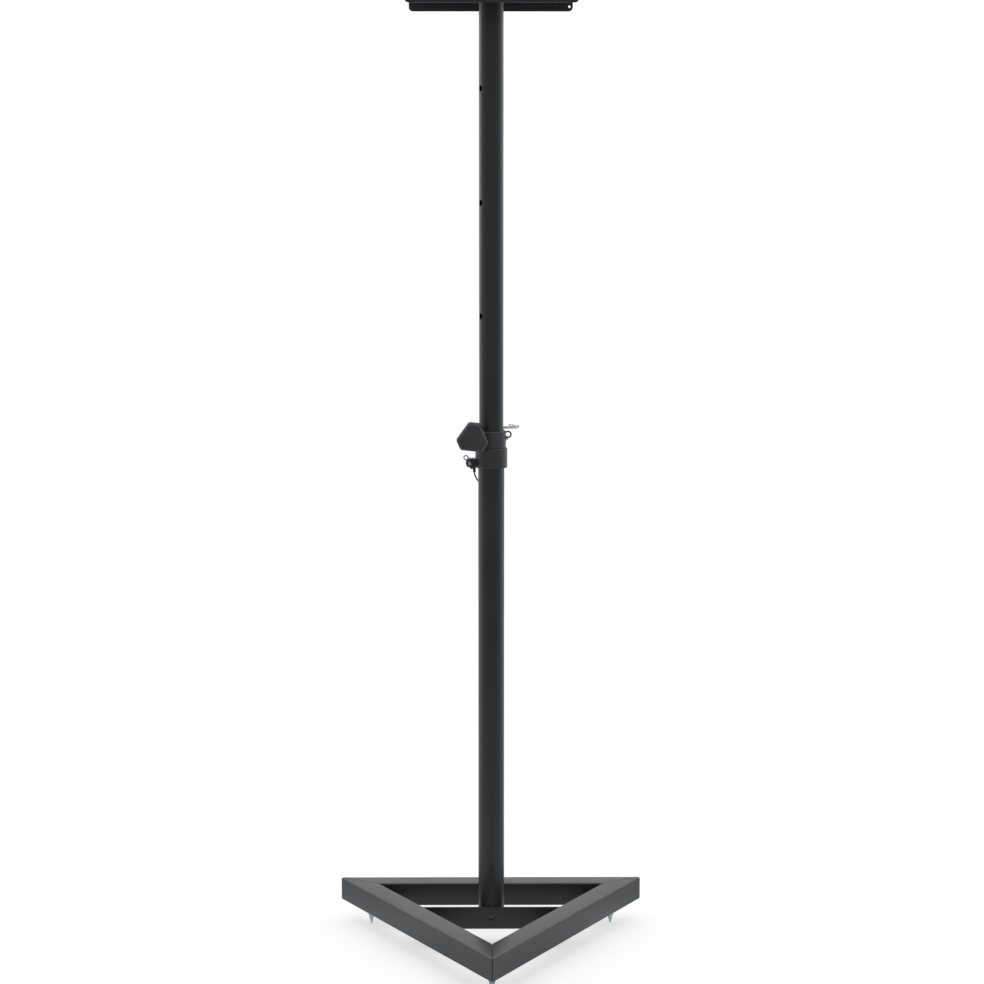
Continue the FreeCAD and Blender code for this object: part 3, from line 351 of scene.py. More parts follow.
def turned_steel(name, centre_point, ring_pitch):
    """Plated steel turned on a lathe: fine rings left by the tool show as bands of light."""
    look = settings("finishes")
    material, tree = new_material(name)
    spot = object_point(tree, shift=centre_point)
    rings = add(tree, "ShaderNodeTexWave", {"Vector": spot, "Scale": 0.05 / ring_pitch,
                                            "Distortion": 0.4, "Detail": 1.0},
                wave_type="BANDS", bands_direction="Z")
    smear = add(tree, "ShaderNodeTexNoise", {"Vector": spot, "Scale": 160.0, "Detail": 3.0})
    base = add(
        tree, "ShaderNodeMix",
        {"Factor": smear.outputs["Fac"], "A": shade_of(look.zinc, 0.8), "B": look.zinc}, "Result",
        data_type="RGBA")
    rough = add(tree, "ShaderNodeMapRange", (smear.outputs["Fac"], 0.3, 0.7, 0.24, 0.36), "Result")
    surface(tree, {"Base Color": base, "Metallic": 1.0, "Roughness": rough},
            rings.outputs["Fac"], 0.000012)
    return material


def nickel_plate():
    """Bright nickel over polished steel: almost a mirror, with light scuffs along the pin."""
    look = settings("finishes")
    material, tree = new_material("nickel_plated_steel")
    along = object_point(tree, turn=(0, 0, PIN_AZIMUTH), scale=(1, 0.08, 1))
    scuff = add(tree, "ShaderNodeTexNoise", {"Vector": along, "Scale": 2400.0, "Detail": 3.0,
                                             "Roughness": 0.7})
    rough = add(tree, "ShaderNodeMapRange", (scuff.outputs["Fac"], 0.35, 0.75, 0.1, 0.24), "Result")
    base = add(
        tree, "ShaderNodeMix",
        {"Factor": scuff.outputs["Fac"], "A": shade_of(look.bright, 0.94), "B": look.bright},
        "Result", data_type="RGBA")
    surface(tree, {"Base Color": base, "Metallic": 1.0, "Roughness": rough},
            scuff.outputs["Fac"], 0.000003)
    return material


def turned_brass():
    """Free-cutting brass as it leaves the lathe, with a light tarnish."""
    look = settings("finishes")
    material, tree = new_material("turned_brass")
    cloud = add(tree, "ShaderNodeTexNoise", {"Vector": object_point(tree), "Scale": 220.0,
                                             "Detail": 4.0})
    base = add(
        tree, "ShaderNodeMix",
        {"Factor": cloud.outputs["Fac"], "A": shade_of(look.brass, 0.75), "B": look.brass},
        "Result", data_type="RGBA")
    rough = add(tree, "ShaderNodeMapRange", (cloud.outputs["Fac"], 0.3, 0.7, 0.28, 0.42), "Result")
    surface(tree, {"Base Color": base, "Metallic": 1.0, "Roughness": rough},
            cloud.outputs["Fac"], 0.00001)
    return material


def mat_rubber():
    """Moulded rubber: dull, with a bloom that greys it in patches and a fine pitted skin."""
    look = settings("finishes")
    material, tree = new_material("moulded_rubber_mat")
    spot = object_point(tree)
    skin = add(tree, "ShaderNodeTexNoise", {"Vector": spot, "Scale": 1 / look.grain, "Detail": 5.0,
                                            "Roughness": 0.65})
    bloom = add(tree, "ShaderNodeTexNoise", {"Vector": spot, "Scale": 14.0, "Detail": 4.0})
    dusty = add(tree, "ShaderNodeMapRange", (bloom.outputs["Fac"], 0.4, 0.75, 0.0, 1.0), "Result")
    base = add(tree, "ShaderNodeMix", {"Factor": dusty, "A": look.rubber,
                                       "B": shade_of(look.rubber, 1.8)}, "Result", data_type="RGBA")
    rough = add(tree, "ShaderNodeMapRange", (bloom.outputs["Fac"], 0.3, 0.7, 0.72, 0.86), "Result")
    surface(
        tree, {"Base Color": base, "Roughness": rough, "IOR": 1.5}, skin.outputs["Fac"], 0.00006)
    return material


def braided_sheath():
    """Braided polyester sheath: crossing strands with a dull sheen, drawn along the cord; the grooves
    between strands carry painted shade and their crowns a painted highlight.
    """
    look = settings("finishes")
    cord = settings("lanyard")
    material, tree = new_material("braided_polyester_cord")
    along = add(tree, "ShaderNodeUVMap", uv_map="along").outputs["UV"]
    turns = add(tree, "ShaderNodeMapping", {"Vector": along, "Scale": (8, 1 / cord.lay, 1)})
    split = add(tree, "ShaderNodeSeparateXYZ", {"Vector": turns.outputs["Vector"]})
    strands = []
    for way in ("ADD", "SUBTRACT"):
        phase = add(tree, "ShaderNodeMath", {0: split.outputs["X"], 1: split.outputs["Y"]},
                    operation=way)
        full = add(tree, "ShaderNodeMath", {0: phase.outputs["Value"], 1: math.pi},
                   operation="MULTIPLY")
        wave = add(tree, "ShaderNodeMath", {0: full.outputs["Value"]}, operation="SINE")
        strands.append(add(tree, "ShaderNodeMath", {0: wave.outputs["Value"]},
                           operation="ABSOLUTE").outputs["Value"])
    weave = add(tree, "ShaderNodeMath", {0: strands[0], 1: strands[1]}, operation="MULTIPLY")
    # painted shade in the grooves between strands and a painted highlight on their crowns, following the
    # weave's height
    base = add(
        tree, "ShaderNodeMix",
        {
            "Factor": weave.outputs["Value"], "A": shade_of(look.cord, 0.45),
            "B": shade_of(look.cord, 1.5)},
        "Result", data_type="RGBA")
    surface(tree, {"Base Color": base, "Roughness": 0.68, "IOR": 1.5, "Sheen Weight": 0.25,
                   "Sheen Roughness": 0.4}, weave.outputs["Value"], 0.00018)
    return material


def studio_floor():
    """Pale seamless paper: matt, with a trace of fibre."""
    stage = settings("stage")
    material, tree = new_material("seamless_paper_floor")
    fibre = add(tree, "ShaderNodeTexNoise", {"Vector": object_point(tree), "Scale": 400.0,
                                             "Detail": 2.0})
    base = add(
        tree, "ShaderNodeMix",
        {"Factor": fibre.outputs["Fac"], "A": shade_of(stage.floor, 0.985), "B": stage.floor},
        "Result", data_type="RGBA")
    lit = add(tree, "ShaderNodeBsdfDiffuse", {"Color": base, "Roughness": 0.8})
    spot = add(tree, "ShaderNodeTexCoord").outputs["Object"]
    # the camera sees lit paper that fades into the white background with distance
    away = add(tree, "ShaderNodeVectorMath", {0: spot}, operation="LENGTH")
    glow = add(tree, "ShaderNodeMapRange", (away.outputs["Value"], 2.2, 7.0, 0.58, 0.67), "Result")
    white = add(tree, "ShaderNodeEmission", {"Color": (1, 1, 1, 1), "Strength": glow})
    shaded = add(tree, "ShaderNodeBsdfDiffuse", {"Color": linear("c3c3c2"), "Roughness": 0.8})
    seen = add(tree, "ShaderNodeAddShader", {0: shaded.outputs["BSDF"],
                                             1: white.outputs["Emission"]})
    # gloss sees the floor as a painted glow: brighter behind the stand, a painted pool of light close
    # round it, where the base is seen in it, a painted shadow under the base, and dimmer towards the
    # viewer
    split = add(tree, "ShaderNodeSeparateXYZ", {"Vector": spot})
    behind = add(tree, "ShaderNodeMapRange", (split.outputs["Y"], -1.4, 0.9, 0.2, 0.92), "Result")
    painted_pool_round_stand = add(tree, "ShaderNodeMapRange", (away.outputs["Value"], 0.32, 0.66, 0.95, 0.2),
                "Result")
    painted_shadow_under_base = add(tree, "ShaderNodeMapRange", (away.outputs["Value"], 0.08, 0.26, 0.5, 1.0), "Result")
    # near: the painted pool of light round the stand times the painted shadow under the base
    near = add(tree, "ShaderNodeMath", (painted_pool_round_stand, painted_shadow_under_base), "Value", operation="MULTIPLY")
    level = add(tree, "ShaderNodeMath", (behind, near), "Value", operation="MAXIMUM")
    painted_floor_glow = add(tree, "ShaderNodeEmission", {"Color": linear("f6fafe"), "Strength": level})
    path = add(tree, "ShaderNodeLightPath")
    mirrored = add(tree, "ShaderNodeMath", {0: path.outputs["Is Glossy Ray"],
                                            1: path.outputs["Is Transmission Ray"]},
                   operation="MAXIMUM")
    first = add(tree, "ShaderNodeMixShader", {0: mirrored.outputs["Value"], 1: lit.outputs["BSDF"],
                                              2: painted_floor_glow.outputs["Emission"]})
    last = add(tree, "ShaderNodeMixShader", {0: path.outputs["Is Camera Ray"],
                                             1: first.outputs["Shader"], 2: seen.outputs["Shader"]})
    add(tree, "ShaderNodeOutputMaterial", {"Surface": last.outputs["Shader"]})
    return material


FINISHES = {
    "powder_coat": powder_coat,
    "cast_collar": casting_coat,
    "moulded_plastic": moulded_nylon,
    "zinc_steel": zinc_plate,
    "black_steel": black_oxide,
    "plated_steel": nickel_plate,
    "brass": turned_brass,
    "mat_rubber": mat_rubber,
    "cord_sheath": braided_sheath,
}
made = {}


def finish(slot):
    """The material of one of the record's slots, made once."""
    if slot not in made:
        made[slot] = FINISHES[slot]()
    return made[slot]


# ---- meshes -----------------------------------------------------------------------------

def piece_from(name, mesh, slot, body, replaced=(), material=None):
    """A finished piece at the origin that rides on a body."""
    mesh.name = name
    item = bpy.data.objects.new(name, mesh)
    bpy.context.scene.collection.objects.link(item)
    mesh.materials.clear()
    mesh.materials.append(material or finish(slot))
    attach(item, body)
    if replaced:
        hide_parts(*replaced)
    return item


def mesh_from(shape, sharp=30.0):
    """Closed bmesh to a mesh, smooth but for edges sharper than an angle in degrees."""
    bmesh.ops.remove_doubles(shape, verts=shape.verts, dist=1e-7)
    bmesh.ops.recalc_face_normals(shape, faces=shape.faces)
    for face in shape.faces:
        face.smooth = True
    limit = math.radians(sharp)
    for edge in shape.edges:
        if len(edge.link_faces) == 2 and edge.calc_face_angle() > limit:
            edge.smooth = False
    mesh = bpy.data.meshes.new("mesh")
    shape.to_mesh(mesh)
    shape.free()
    return mesh


def rings_to_shape(shape, rings, close_ends=True):
    """Skin between rings of equal count."""
    loops = [[shape.verts.new(point) for point in ring] for ring in rings]
    count = len(loops[0])
    for first, second in zip(loops, loops[1:]):
        for index in range(count):
            after = (index + 1) % count
            shape.faces.new((first[index], first[after], second[after], second[index]))
    if close_ends:
        shape.faces.new(loops[0])
        shape.faces.new(loops[-1])
    return loops


def turned(shape, profile, place, steps=64):
    """Solid of revolution about local Z from (radius, height) points, closed at both ends."""
    rings = []
    for radius, height in profile:
        ring = []
        for step in range(steps):
            angle = 2 * math.pi * step / steps
            point = Vector((radius * math.cos(angle), radius * math.sin(angle), height))
            ring.append(place @ point)
        rings.append(ring)
    return rings_to_shape(shape, rings)


def softened(profile, radius, steps=3):
    """A profile whose inner corners are replaced by short arcs."""
    points = [Vector(p) for p in profile]
    out = [points[0]]
    for before, corner, after in zip(points, points[1:], points[2:]):
        back, ahead = before - corner, after - corner
        reach = min(radius, 0.45 * back.length, 0.45 * ahead.length)
        start = corner + back.normalized() * reach
        end = corner + ahead.normalized() * reach
        for step in range(steps + 1):
            t = step / steps
            out.append(start.lerp(corner, t).lerp(corner.lerp(end, t), t))
    out.append(points[-1])
    return [tuple(p) for p in out]


def facing(direction, origin=(0, 0, 0)):
    """Matrix that carries local Z to a direction and the origin to a point."""
    turn = Vector(direction).to_track_quat("Z", "Y").to_matrix().to_4x4()
    return Matrix.Translation(Vector(origin)) @ turn


def hexagon_radius(angle, flats):
    part = (angle + math.pi / 6) % (math.pi / 3) - math.pi / 6
    return flats / 2 / math.cos(part)


def hex_block(shape, flats, height, place, both=False, hole=0.0, turn=0.0, steps=72):
    """Hexagon with the cone-shaped chamfer of a real bolt head; both ends for a nut."""
    chamfer = settings("fasteners").chamfer
    slope = math.tan(math.radians(30))
    crown = flats / 2 * 0.985
    inner = hole if hole else crown * 0.3

    def ring(radius_of, height_of):
        points = []
        for step in range(steps):
            angle = 2 * math.pi * step / steps
            radius = radius_of(angle)
            level = height_of(radius)
            points.append(
                place @ Vector(
                    (radius * math.cos(angle + turn), radius * math.sin(angle + turn), level)))
        return points

    def drop(radius):
        return max(0.0, radius - crown) * slope + 0.0

    def edge(angle):
        return hexagon_radius(angle, flats)

    rings = []
    if both:
        rings.append(ring(lambda a: inner, lambda r: 0.0))
        rings.append(ring(lambda a: crown, lambda r: 0.0))
        rings.append(ring(edge, lambda r: drop(r)))
    else:
        rings.append(ring(lambda a: inner, lambda r: 0.0))
        rings.append(ring(edge, lambda r: 0.0))
    rings.append(ring(edge, lambda r: height - drop(r)))
    rings.append(ring(lambda a: crown, lambda r: height))
    rings.append(ring(lambda a: inner, lambda r: height))
    if hole:
        rings.append(ring(lambda a: hole - chamfer * 0.4, lambda r: height - chamfer * 0.4))
        rings.append(ring(lambda a: hole - chamfer * 0.4, lambda r: chamfer * 0.4))
        loops = rings_to_shape(shape, rings, close_ends=False)
        count = len(loops[0])
        for index in range(count):
            after = (index + 1) % count
            shape.faces.new((loops[-1][index], loops[-1][after], loops[0][after], loops[0][index]))
    else:
        rings_to_shape(shape, rings)


# ---- geometry trees ---------------------------------------------------------------------

def geometry_tree(name, inputs):
    """Empty tree with a geometry input and output and named inputs for its sizes."""
    tree = bpy.data.node_groups.new(name, "GeometryNodeTree")
    tree.interface.new_socket(name="Geometry", in_out="INPUT", socket_type="NodeSocketGeometry")
    for label, kind, value in inputs:
        socket = tree.interface.new_socket(
            name=label, in_out="INPUT", socket_type="NodeSocket" + kind)
        if value is not None:
            socket.default_value = value
    tree.interface.new_socket(name="Geometry", in_out="OUTPUT", socket_type="NodeSocketGeometry")
    source = tree.nodes.new("NodeGroupInput")
    return tree, source.outputs


def close_tree(tree, geometry, material):
    """Realize, set the material and hand the geometry out."""
    real = add(tree, "GeometryNodeRealizeInstances", {"Geometry": geometry})
    coated = add(tree, "GeometryNodeSetMaterial", {"Geometry": real.outputs["Geometry"],
                                                   "Material": material})
    add(tree, "NodeGroupOutput", {"Geometry": coated.outputs["Geometry"]})


def run_tree(tree, values, source=None):
    """The tree's result on a source mesh, as a plain mesh."""
    mesh = source or bpy.data.meshes.new("source")
    carrier = bpy.data.objects.new("carrier", mesh)
    bpy.context.scene.collection.objects.link(carrier)
    modifier = carrier.modifiers.new("tree", "NODES")
    modifier.node_group = tree
    identifiers = {item.name: item.identifier for item in tree.interface.items_tree
                   if item.in_out == "INPUT"}
    for name, value in values.items():
        modifier[identifiers[name]] = value
    bpy.context.view_layer.update()
    evaluated = carrier.evaluated_get(bpy.context.evaluated_depsgraph_get())
    result = bpy.data.meshes.new_from_object(evaluated)
    bpy.data.objects.remove(carrier)
    if not result.polygons:
        raise RuntimeError("%s made nothing" % tree.name)
    return result


def frame_tree():
    """Mitred frame: one rounded square tube, cut to its mitres and repeated round the pole."""
    tree, given = geometry_tree("Mitred frame", [
        ("Side", "Float", 0.46), ("Tube", "Float", 0.035), ("Edge", "Float", 0.0025),
        ("Seam width", "Float", 0.001), ("Seam depth", "Float", 0.0005), ("Face", "Float", 0.13),
        ("Lift", "Float", 0.03), ("Sides", "Int", 3), ("Centre", "Vector", None),
        ("Material", "Material", None)])
    square = add(tree, "GeometryNodeCurvePrimitiveQuadrilateral", {"Width": given["Tube"],
                                                                   "Height": given["Tube"]})
    rounded = add(tree, "GeometryNodeFilletCurve", {"Curve": square.outputs["Curve"], "Count": 7,
                                                    "Radius": given["Edge"], "Limit Radius": True},
                  mode="POLY")
    outline = add(tree, "GeometryNodeCurveToMesh", {"Curve": rounded.outputs["Curve"]})
    upright = add(tree, "GeometryNodeTransform", {"Geometry": outline.outputs["Mesh"],
                                                  "Rotation": (math.pi / 2, 0, math.pi / 2)})
    double = add(tree, "ShaderNodeMath", (given["Seam width"], 2.0), "Value", operation="MULTIPLY")
    middle = add(tree, "ShaderNodeMath", (given["Side"], double), "Value", operation="SUBTRACT")
    geometry, lengths = upright.outputs["Geometry"], (
        given["Seam width"], middle, given["Seam width"])
    selection = None
    for length in lengths:
        offset = add(tree, "ShaderNodeCombineXYZ", {"X": length})
        inputs = {"Mesh": geometry, "Offset": offset.outputs["Vector"]}
        if selection is not None:
            inputs["Selection"] = selection
        grown = add(tree, "GeometryNodeExtrudeMesh", inputs, mode="EDGES")
        geometry, selection = grown.outputs["Mesh"], grown.outputs["Top"]
    # the outermost ring at each end is drawn in, which leaves a groove along the mitre
    point = add(tree, "GeometryNodeInputPosition").outputs["Position"]
    split = add(tree, "ShaderNodeSeparateXYZ", {"Vector": point})
    half = add(tree, "ShaderNodeMath", (given["Side"], 0.5), "Value", operation="MULTIPLY")
    from_middle = add(tree, "ShaderNodeMath", (split.outputs["X"], half), "Value",
                      operation="SUBTRACT")
    away = add(tree, "ShaderNodeMath", (from_middle,), "Value", operation="ABSOLUTE")
    edge_start = add(
        tree, "ShaderNodeMath",
        (
            half,
            add(tree, "ShaderNodeMath", (given["Seam width"], 0.5), "Value", operation="MULTIPLY")),
        "Value", operation="SUBTRACT")
    at_end = add(tree, "ShaderNodeMath", (away, edge_start), "Value", operation="GREATER_THAN")
    shrink = add(
        tree, "ShaderNodeMath",
        (
            add(
                tree, "ShaderNodeMath", (given["Seam depth"], given["Tube"]), "Value",
                operation="DIVIDE"),
            2.0),
        "Value", operation="MULTIPLY")
    keep = add(
        tree, "ShaderNodeMath",
        (1.0, add(tree, "ShaderNodeMath", (shrink, at_end), "Value", operation="MULTIPLY")),
        "Value", operation="SUBTRACT")
    across = add(tree, "ShaderNodeMath", (split.outputs["Y"], keep), "Value", operation="MULTIPLY")
    height = add(tree, "ShaderNodeMath", (split.outputs["Z"], keep), "Value", operation="MULTIPLY")
    # distance of each point from the frame's centre sets the half length of its fibre
    tube_half = add(tree, "ShaderNodeMath", (given["Tube"], 0.5), "Value", operation="MULTIPLY")
    row = add(
        tree, "ShaderNodeMath",
        (
            across,
            add(tree, "ShaderNodeMath", (given["Face"], tube_half), "Value", operation="SUBTRACT")),
        "Value", operation="ADD")
    inset = add(tree, "ShaderNodeMath", (given["Face"], row), "Value", operation="SUBTRACT")
    fibre = add(
        tree, "ShaderNodeMath",
        (half, add(tree, "ShaderNodeMath", (inset, math.sqrt(3)), "Value", operation="MULTIPLY")),
        "Value", operation="SUBTRACT")
    run = add(
        tree, "ShaderNodeMath",
        (add(tree, "ShaderNodeMath", (from_middle, half), "Value", operation="DIVIDE"), fibre),
        "Value", operation="MULTIPLY")
    lifted = add(
        tree, "ShaderNodeMath",
        (height, add(tree, "ShaderNodeMath", (tube_half, given["Lift"]), "Value", operation="ADD")),
        "Value", operation="ADD")
    moved = add(tree, "ShaderNodeCombineXYZ", {"X": run, "Y": row, "Z": lifted})
    side = add(tree, "GeometryNodeSetPosition", {"Geometry": geometry,
                                                 "Position": moved.outputs["Vector"]})
    # the same tube, once for each side
    places = add(tree, "GeometryNodeMeshLine", {"Count": given["Sides"], "Offset": (0, 0, 0)})
    index = add(tree, "GeometryNodeInputIndex").outputs["Index"]
    share = add(tree, "ShaderNodeMath", (index, given["Sides"]), "Value", operation="DIVIDE")
    angle = add(tree, "ShaderNodeMath", (share, 2 * math.pi), "Value", operation="MULTIPLY")
    spin = add(tree, "ShaderNodeCombineXYZ", {"Z": angle})
    turn = add(tree, "FunctionNodeEulerToRotation", {"Euler": spin.outputs["Vector"]})
    copies = add(tree, "GeometryNodeInstanceOnPoints", {"Points": places.outputs["Mesh"],
                                                        "Instance": side.outputs["Geometry"],
                                                        "Rotation": turn.outputs["Rotation"]})
    real = add(tree, "GeometryNodeRealizeInstances", {"Geometry": copies.outputs["Instances"]})
    joined = add(tree, "GeometryNodeMergeByDistance", {"Geometry": real.outputs["Geometry"],
                                                       "Distance": 0.00002})
    centred = add(tree, "GeometryNodeTransform", {"Geometry": joined.outputs["Geometry"],
                                                  "Translation": given["Centre"]})
    smooth = add(tree, "GeometryNodeSetShadeSmooth", {"Geometry": centred.outputs["Geometry"],
                                                      "Shade Smooth": True})
    close_tree(tree, smooth.outputs["Geometry"], given["Material"])
    return tree


def bead_tree():
    """Weld bead: overlapping ripples laid along each edge of the source mesh."""
    tree, given = geometry_tree("Weld bead", [
        ("Ripple", "Float", 0.002), ("Width", "Float", 0.005), ("Seed", "Int", 3),
        ("Material", "Material", None)])
    path = add(tree, "GeometryNodeMeshToCurve", {"Mesh": given["Geometry"]})
    steps = add(tree, "GeometryNodeResampleCurve", {"Curve": path.outputs["Curve"],
                                                    "Length": given["Ripple"]}, mode="LENGTH")
    points = add(tree, "GeometryNodeCurveToPoints", {"Curve": steps.outputs["Curve"]},
                 mode="EVALUATED")
    drop = add(tree, "GeometryNodeMeshUVSphere", {"Segments": 12, "Rings": 8, "Radius": 0.5})
    size = add(tree, "FunctionNodeRandomValue", {2: 0.88, 3: 1.1, "Seed": given["Seed"]},
               data_type="FLOAT")
    width = add(tree, "ShaderNodeMath", (size.outputs[1], given["Width"]), "Value",
                operation="MULTIPLY")
    long = add(tree, "ShaderNodeMath", (given["Ripple"], 2.3), "Value", operation="MULTIPLY")
    scale = add(tree, "ShaderNodeCombineXYZ", {"X": width, "Y": width, "Z": long})
    ripples = add(tree, "GeometryNodeInstanceOnPoints", {"Points": points.outputs["Points"],
                                                         "Instance": drop.outputs["Mesh"],
                                                         "Rotation": points.outputs["Rotation"],
                                                         "Scale": scale.outputs["Vector"]})
    real = add(tree, "GeometryNodeRealizeInstances", {"Geometry": ripples.outputs["Instances"]})
    smooth = add(tree, "GeometryNodeSetShadeSmooth", {"Geometry": real.outputs["Geometry"],
                                                      "Shade Smooth": True})
    close_tree(tree, smooth.outputs["Geometry"], given["Material"])
    return tree


def thread_tree():
    """Thread: the source mesh with a ridge wound round its axis."""
    tree, given = geometry_tree("Thread ridge", [
        ("Radius", "Float", 0.004), ("Pitch", "Float", 0.00125), ("Depth", "Float", 0.0007),
        ("Length", "Float", 0.02), ("Placement", "Vector", None), ("Turn", "Rotation", None),
        ("Material", "Material", None)])
    turns = add(tree, "ShaderNodeMath", (given["Length"], given["Pitch"]), "Value",
                operation="DIVIDE")
    core = add(tree, "ShaderNodeMath", (given["Radius"], given["Depth"]), "Value",
               operation="SUBTRACT")
    helix = add(tree, "GeometryNodeCurveSpiral", {"Resolution": 32, "Rotations": turns,
                                                  "Start Radius": core, "End Radius": core,
                                                  "Height": given["Length"]})
    ridge = add(tree, "GeometryNodeCurvePrimitiveCircle", {"Resolution": 3,
                                                           "Radius": given["Depth"]})
    wound = add(tree, "GeometryNodeCurveToMesh", {"Curve": helix.outputs["Curve"],
                                                  "Profile Curve": ridge.outputs["Curve"],
                                                  "Fill Caps": True})
    set_in = add(tree, "GeometryNodeTransform", {"Geometry": wound.outputs["Mesh"],
                                                 "Translation": given["Placement"],
                                                 "Rotation": given["Turn"]})
    whole = add(tree, "GeometryNodeJoinGeometry")
    tree.links.new(given["Geometry"], whole.inputs[0])
    tree.links.new(set_in.outputs["Geometry"], whole.inputs[0])
    close_tree(tree, whole.outputs["Geometry"], given["Material"])
    return tree


def repeat_tree():
    """Copies of one piece, the source mesh, on a ring or a single point."""
    tree, given = geometry_tree("Repeat round a centre", [
        ("Count", "Int", 3), ("Reach", "Float", 0.1), ("Start", "Float", 0.0),
        ("Centre", "Vector", None), ("Material", "Material", None)])
    points = add(tree, "GeometryNodeMeshLine", {"Count": given["Count"], "Offset": (0, 0, 0)})
    index = add(tree, "GeometryNodeInputIndex").outputs["Index"]
    share = add(tree, "ShaderNodeMath", (index, given["Count"]), "Value", operation="DIVIDE")
    angle = add(
        tree, "ShaderNodeMath",
        (
            add(tree, "ShaderNodeMath", (share, 2 * math.pi), "Value", operation="MULTIPLY"),
            given["Start"]),
        "Value", operation="ADD")
    across = add(
        tree, "ShaderNodeMath",
        (add(tree, "ShaderNodeMath", (angle,), "Value", operation="COSINE"), given["Reach"]),
        "Value", operation="MULTIPLY")
    along = add(
        tree, "ShaderNodeMath",
        (add(tree, "ShaderNodeMath", (angle,), "Value", operation="SINE"), given["Reach"]), "Value",
        operation="MULTIPLY")
    spot = add(tree, "ShaderNodeCombineXYZ", {"X": across, "Y": along})
    spread = add(tree, "GeometryNodeSetPosition", {"Geometry": points.outputs["Mesh"],
                                                   "Position": spot.outputs["Vector"]})
    spin = add(tree, "ShaderNodeCombineXYZ", {"Z": angle})
    turn = add(tree, "FunctionNodeEulerToRotation", {"Euler": spin.outputs["Vector"]})
    copies = add(tree, "GeometryNodeInstanceOnPoints", {"Points": spread.outputs["Geometry"],
                                                        "Instance": given["Geometry"],
                                                        "Rotation": turn.outputs["Rotation"]})
    real = add(tree, "GeometryNodeRealizeInstances", {"Geometry": copies.outputs["Instances"]})
    centred = add(tree, "GeometryNodeTransform", {"Geometry": real.outputs["Geometry"],
                                                  "Translation": given["Centre"]})
    close_tree(tree, centred.outputs["Geometry"], given["Material"])
    return tree


def studs_tree():
    """Studded mat: the source sheet with round studs on a grid, none near a fixing hole."""
    tree, given = geometry_tree("Studded mat", [
        ("Side", "Float", 0.2), ("Pitch", "Float", 0.007), ("Width", "Float", 0.004),
        ("Height", "Float", 0.0006), ("Hole pitch", "Float", 0.18), ("Hole room", "Float", 0.009),
        ("Centre", "Vector", None), ("Material", "Material", None)])
    count = add(
        tree, "ShaderNodeMath",
        (
            add(
                tree, "ShaderNodeMath", (given["Side"], given["Pitch"]), "Value",
                operation="DIVIDE"),),
        "Value", operation="FLOOR")
    extent = add(
        tree, "ShaderNodeMath",
        (add(tree, "ShaderNodeMath", (count, 1.0), "Value", operation="SUBTRACT"), given["Pitch"]),
        "Value", operation="MULTIPLY")
    grid = add(tree, "GeometryNodeMeshGrid", {"Size X": extent, "Size Y": extent,
                                              "Vertices X": count, "Vertices Y": count})
    split = add(tree, "ShaderNodeSeparateXYZ",
                {"Vector": add(tree, "GeometryNodeInputPosition").outputs["Position"]})
    half_hole = add(tree, "ShaderNodeMath", (given["Hole pitch"], 0.5), "Value",
                    operation="MULTIPLY")
    gaps = []
    for axis in ("X", "Y"):
        away = add(tree, "ShaderNodeMath", (split.outputs[axis],), "Value", operation="ABSOLUTE")
        gaps.append(add(tree, "ShaderNodeMath", (away, half_hole), "Value", operation="SUBTRACT"))
    gap = add(tree, "ShaderNodeCombineXYZ", {"X": gaps[0], "Y": gaps[1]})
    distance = add(tree, "ShaderNodeVectorMath", {0: gap.outputs["Vector"]}, operation="LENGTH")
    clear = add(tree, "ShaderNodeMath", (distance.outputs["Value"], given["Hole room"]), "Value",
                operation="GREATER_THAN")
    radius = add(tree, "ShaderNodeMath", (given["Width"], 0.5), "Value", operation="MULTIPLY")
    small = add(
        tree, "ShaderNodeMath",
        (
            radius,
            add(tree, "ShaderNodeMath", (given["Height"], 0.4), "Value", operation="MULTIPLY")),
        "Value", operation="SUBTRACT")
    stud = add(tree, "GeometryNodeMeshCone", {"Vertices": 12, "Radius Top": small,
                                              "Radius Bottom": radius, "Depth": given["Height"]},
               fill_type="NGON")
    copies = add(tree, "GeometryNodeInstanceOnPoints", {"Points": grid.outputs["Mesh"],
                                                        "Selection": clear,
                                                        "Instance": stud.outputs["Mesh"]})
    centred = add(tree, "GeometryNodeTransform", {"Geometry": copies.outputs["Instances"],
                                                  "Translation": given["Centre"]})
    whole = add(tree, "GeometryNodeJoinGeometry")
    tree.links.new(given["Geometry"], whole.inputs[0])
    tree.links.new(centred.outputs["Geometry"], whole.inputs[0])
    close_tree(tree, whole.outputs["Geometry"], given["Material"])
    return tree


# ---- operators --------------------------------------------------------------------------

